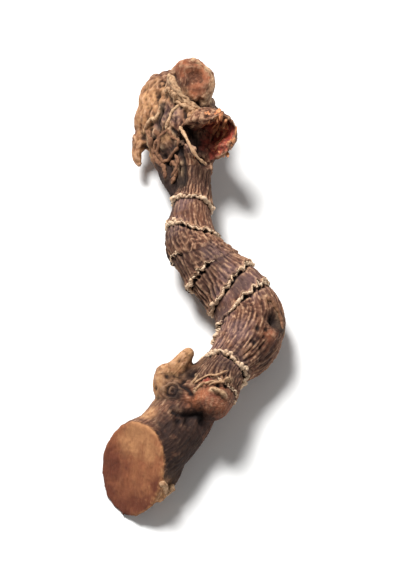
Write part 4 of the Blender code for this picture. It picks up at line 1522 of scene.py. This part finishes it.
def skin_material():
    """Brown, wrinkled, weathered skin with all its tints."""
    material, tree, shader = new_material("rhizome_skin", 0.74)
    streak = place_group(tree, STREAKS, Per_millimetre=2.6, Stretch=7.0).outputs["Streak"]
    mottle = place_group(tree, MOTTLE, Per_metre=260.0)
    large, small = mottle.outputs["Large"], mottle.outputs["Small"]
    crest, fold = attribute(tree, "crest"), attribute(tree, "fold")

    def part(value, amount):
        return maths(tree, "MULTIPLY", value, amount)

    def stored(name, amount):
        return part(attribute(tree, name), amount)

    tan = mix(tree, small, TAN_SKIN, TAN_DEEP)
    flesh = mix(tree, part(small, 0.4), mix(tree, large, FLESH, FLESH_DEEP), STREAK_SKIN)
    torn = mix(tree, streak, TORN_DEEP, TORN_RED)
    flecks = place_group(tree, STREAKS, Per_millimetre=1.9, Stretch=2.6).outputs["Streak"]
    covered = maths(tree, "SUBTRACT", 0.65, stored("bare", 0.5))
    highlight_share = maths(tree, "ADD", 0.10, part(small, 0.65))
    layers = [
        (part(large, 0.6), DEEP_SKIN),
        (part(ramp(tree, streak, 0.50, 0.95), 0.75), STREAK_SKIN),
        (part(ramp(tree, streak, 0.42, 0.08), 0.55), FURROW_AND_SHADE),
        # painted shade below each ring, in the groove's mauve tone
        (stored("below_ring", 0.6), BELOW_RING_SHADE),
        (stored("grey", 0.75), GREY_SKIN),
        (stored("tan", 0.9), tan),
        (stored("bare", 0.9), flesh),
        (part(ramp(tree, flecks, 0.68, 1.0), covered), WORN_AND_HIGHLIGHT),
        (part(ramp(tree, flecks, 0.30, 0.0), covered), DEEP_SKIN),
        # painted highlight on the crests
        (part(ramp(tree, crest, 0.15, 0.95), highlight_share), WORN_AND_HIGHLIGHT),
        (stored("lip", part(small, 0.9)), CROWN_LIP),
        # darker skin and painted shade
        (stored("dusk_and_shade", 0.5), DARK_SKIN_AND_SHADE),
        # nearly black skin and painted shade
        (stored("dark", 0.9), DARK_SKIN_AND_SHADE),
        # painted shade in fine furrows and in deep folds
        (part(ramp(tree, crest, 0.0, -0.9), 0.75), FURROW_AND_SHADE),
        (part(ramp(tree, fold, -0.1, -0.9), 0.75), FURROW_AND_SHADE),
        (stored("red", 0.9), torn),
    ]
    fibre = place_group(tree, STREAKS, Per_millimetre=0.8, Stretch=8.0).outputs["Streak"]
    broad = place_group(tree, STREAKS, Per_millimetre=0.5, Stretch=5.0).outputs["Streak"]
    cut_layers = [
        (part(broad, 0.30), CUT_PALE),
        (stored("cut_paler", 0.8), CUT_PALE),
        (stored("cut_redder", 0.85), CUT_RED),
        (part(fibre, 0.35), CUT_LINE),
        (part(small, 0.40), CUT_LINE),
    ]
    layers += [
        (attribute(tree, "cut"), laid_over(tree, CUT_FACE, cut_layers)),
        # pale rim of the cut: wear and painted highlight
        (stored("cut_edge", part(small, 0.9)), CUT_PALE),
        # nearly black painted shade in gaps, scar grooves, pits, hollows, notches and creases
        (stored("gap", 0.95), GAP_SHADE),
    ]
    tone = laid_over(tree, SKIN, layers)
    tree.links.new(tone, shader.inputs["Base Color"])

    uncut = maths(tree, "SUBTRACT", 1.0, stored("cut", 0.80))
    grain = part(place_group(tree, PITTED, Per_metre=3500.0).outputs["Height"], uncut)
    bumped(tree, shader, maths(tree, "ADD", grain, part(streak, 1.2)), 0.8, 0.00012)
    return material


rhizome_skin = skin_material()
print("skin material:", len(rhizome_skin.node_tree.nodes), "nodes")

# %% [markdown]
# ## Lips, strips, flakes and fibres
# The lips are dry and papery: pale, with brown specks and patches of dirt. The strips beside
# them and the flakes on the rim have the same finish in browner colours, so one function makes
# all four. The torn fibres are orange and red, and a little shinier, as their cells are woody.

# %% Lip and fibre materials
def lip_material(name, pale, brown, dirt):
    """Dry, papery edge: pale, with brown specks and patches of dirt."""
    material, tree, shader = new_material(name, 0.8)
    mottle = place_group(tree, MOTTLE, Per_metre=420.0)
    tone = mix(tree, mottle.outputs["Small"], pale, brown)
    tone = mix(tree, maths(tree, "MULTIPLY", mottle.outputs["Large"], dirt), tone, STREAK_SKIN)
    tree.links.new(tone, shader.inputs["Base Color"])
    bumped(tree, shader, place_group(tree, PITTED, Per_metre=5000.0).outputs["Height"], 0.5, 0.00006)
    return material


def fibre_material():
    """Woody orange and red strands."""
    material, tree, shader = new_material("torn_fibre", 0.55)
    mottle = place_group(tree, MOTTLE, Per_metre=400.0)
    tone = mix(tree, mottle.outputs["Large"], TORN_TAN, TORN_RED)
    tone = mix(tree, maths(tree, "MULTIPLY", mottle.outputs["Small"], 0.4), tone, FLESH_DEEP)
    tree.links.new(tone, shader.inputs["Base Color"])
    bumped(tree, shader, place_group(tree, PITTED, Per_metre=5000.0).outputs["Height"], 0.5, 0.00005)
    return material


cream_lip = lip_material("cream_lip", CREAM, LIP_BROWN, 0.25)
crown_lip_skin = lip_material("crown_lip", CROWN_LIP, CROWN_LIP_DEEP, 0.35)
torn_fibre = fibre_material()
rim_flake_skin = lip_material("rim_flake", TORN_TAN, FLESH, 0.3)
brown_strip_skin = lip_material("brown_strip", BROWN_STRIP, DEEP_SKIN, 0.3)
print("materials:", ", ".join(material.name for material in bpy.data.materials))

# %% [markdown]
# ## Into the frame
# Each mesh is moved from drawn millimetres into the frame's metres, shaded smooth, and told
# which body it rides on. The skin stands for the plain model's node, which is then hidden.

# %% Make the pieces
def add_piece(mesh, material):
    """The mesh as a piece of the object, in the frame."""
    mesh.materials.clear()
    mesh.materials.append(material)
    move_corners(mesh, in_frame(corners_of(mesh)[0]))
    mesh.shade_smooth()
    piece = bpy.data.objects.new(mesh.name, mesh)
    bpy.context.scene.collection.objects.link(piece)
    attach(piece, "root")
    return piece


rhizome_piece = add_piece(body, rhizome_skin)
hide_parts("rhizome")
finished = {
    ring_lips: cream_lip,
    crown_lips: crown_lip_skin,
    torn_fibres: torn_fibre,
    rim_flakes: rim_flake_skin,
    brown_strips: brown_strip_skin,
}
for piece in (rhizome_piece, *(add_piece(*pair) for pair in finished.items())):
    print(piece.name, sum(len(p.vertices) - 2 for p in piece.data.polygons), "triangles")

# %% [markdown]
# ## Table and light
# The piece lies on a pale, plain table. A soft lamp high up behind it, a little to the left,
# models the ridges and lets every lip throw its thin shadow forwards. A weak lamp from the front
# right and a dim white sky fill the rest. The Standard view shows the colours as they were
# written down, where Blender's own default would mute them.

# %% Floor
FLOOR_SIZE = 3.0
FLOOR_WHITE = (0.86, 0.86, 0.85, 1)


def add_floor():
    """A wide pale sheet under the piece."""
    half = FLOOR_SIZE / 2
    corners = [(-half, -half, 0), (half, -half, 0), (half, half, 0), (-half, half, 0)]
    mesh = bpy.data.meshes.new("floor")
    mesh.from_pydata(corners, [], [(0, 1, 2, 3)])
    material, _, shader = new_material("floor", 0.9)
    shader.inputs["Base Color"].default_value = FLOOR_WHITE
    mesh.materials.append(material)
    floor = bpy.data.objects.new("floor", mesh)
    bpy.context.scene.collection.objects.link(floor)
    floor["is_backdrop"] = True


add_floor()
print("floor is", FLOOR_SIZE, "m wide")

# %% Lights
# The way to each lamp, its distance and side in metres, and its watts
LAMPS = {
    "key": (Vector((-0.27, 0.42, 0.86)).normalized(), 0.6, 0.20, 6.2),
    "fill": (Vector((0.70, -0.50, 0.55)).normalized(), 0.7, 0.40, 0.7),
}
SKY_STRENGTH = 0.20


def add_lamp(name, way, distance, size, watts):
    """A square soft lamp that looks at the piece from this way."""
    data = bpy.data.lights.new(name, "AREA")
    data.size = size
    data.energy = watts
    lamp = bpy.data.objects.new(name, data)
    lamp.location = LOOK_AT + distance * way
    lamp.rotation_euler = way.to_track_quat("Z", "Y").to_euler()
    bpy.context.scene.collection.objects.link(lamp)


def add_sky(strength):
    """Even white light from all round."""
    sky = bpy.data.worlds.new("sky")
    sky.use_nodes = True
    background = sky.node_tree.nodes["Background"]
    background.inputs["Color"].default_value = (1, 1, 1, 1)
    background.inputs["Strength"].default_value = strength
    bpy.context.scene.world = sky


for name, settings in LAMPS.items():
    add_lamp(name, *settings)
add_sky(SKY_STRENGTH)
bpy.context.scene.view_settings.view_transform = "Standard"
print("lamps:", ", ".join(LAMPS), "and a dim sky")

# %% [markdown]
# ## Compare the size
# The dressed piece is measured against the plain model's box, and what the fine relief adds or
# takes off is printed for each direction.

# %% Sizes
low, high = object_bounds()
for k, axis in enumerate("xyz"):
    grown = (cad_low[k] - low[k]) * 1000, (high[k] - cad_high[k]) * 1000
    print(f"{axis}: {grown[0]:+.2f} mm below, {grown[1]:+.2f} mm above the plain model")
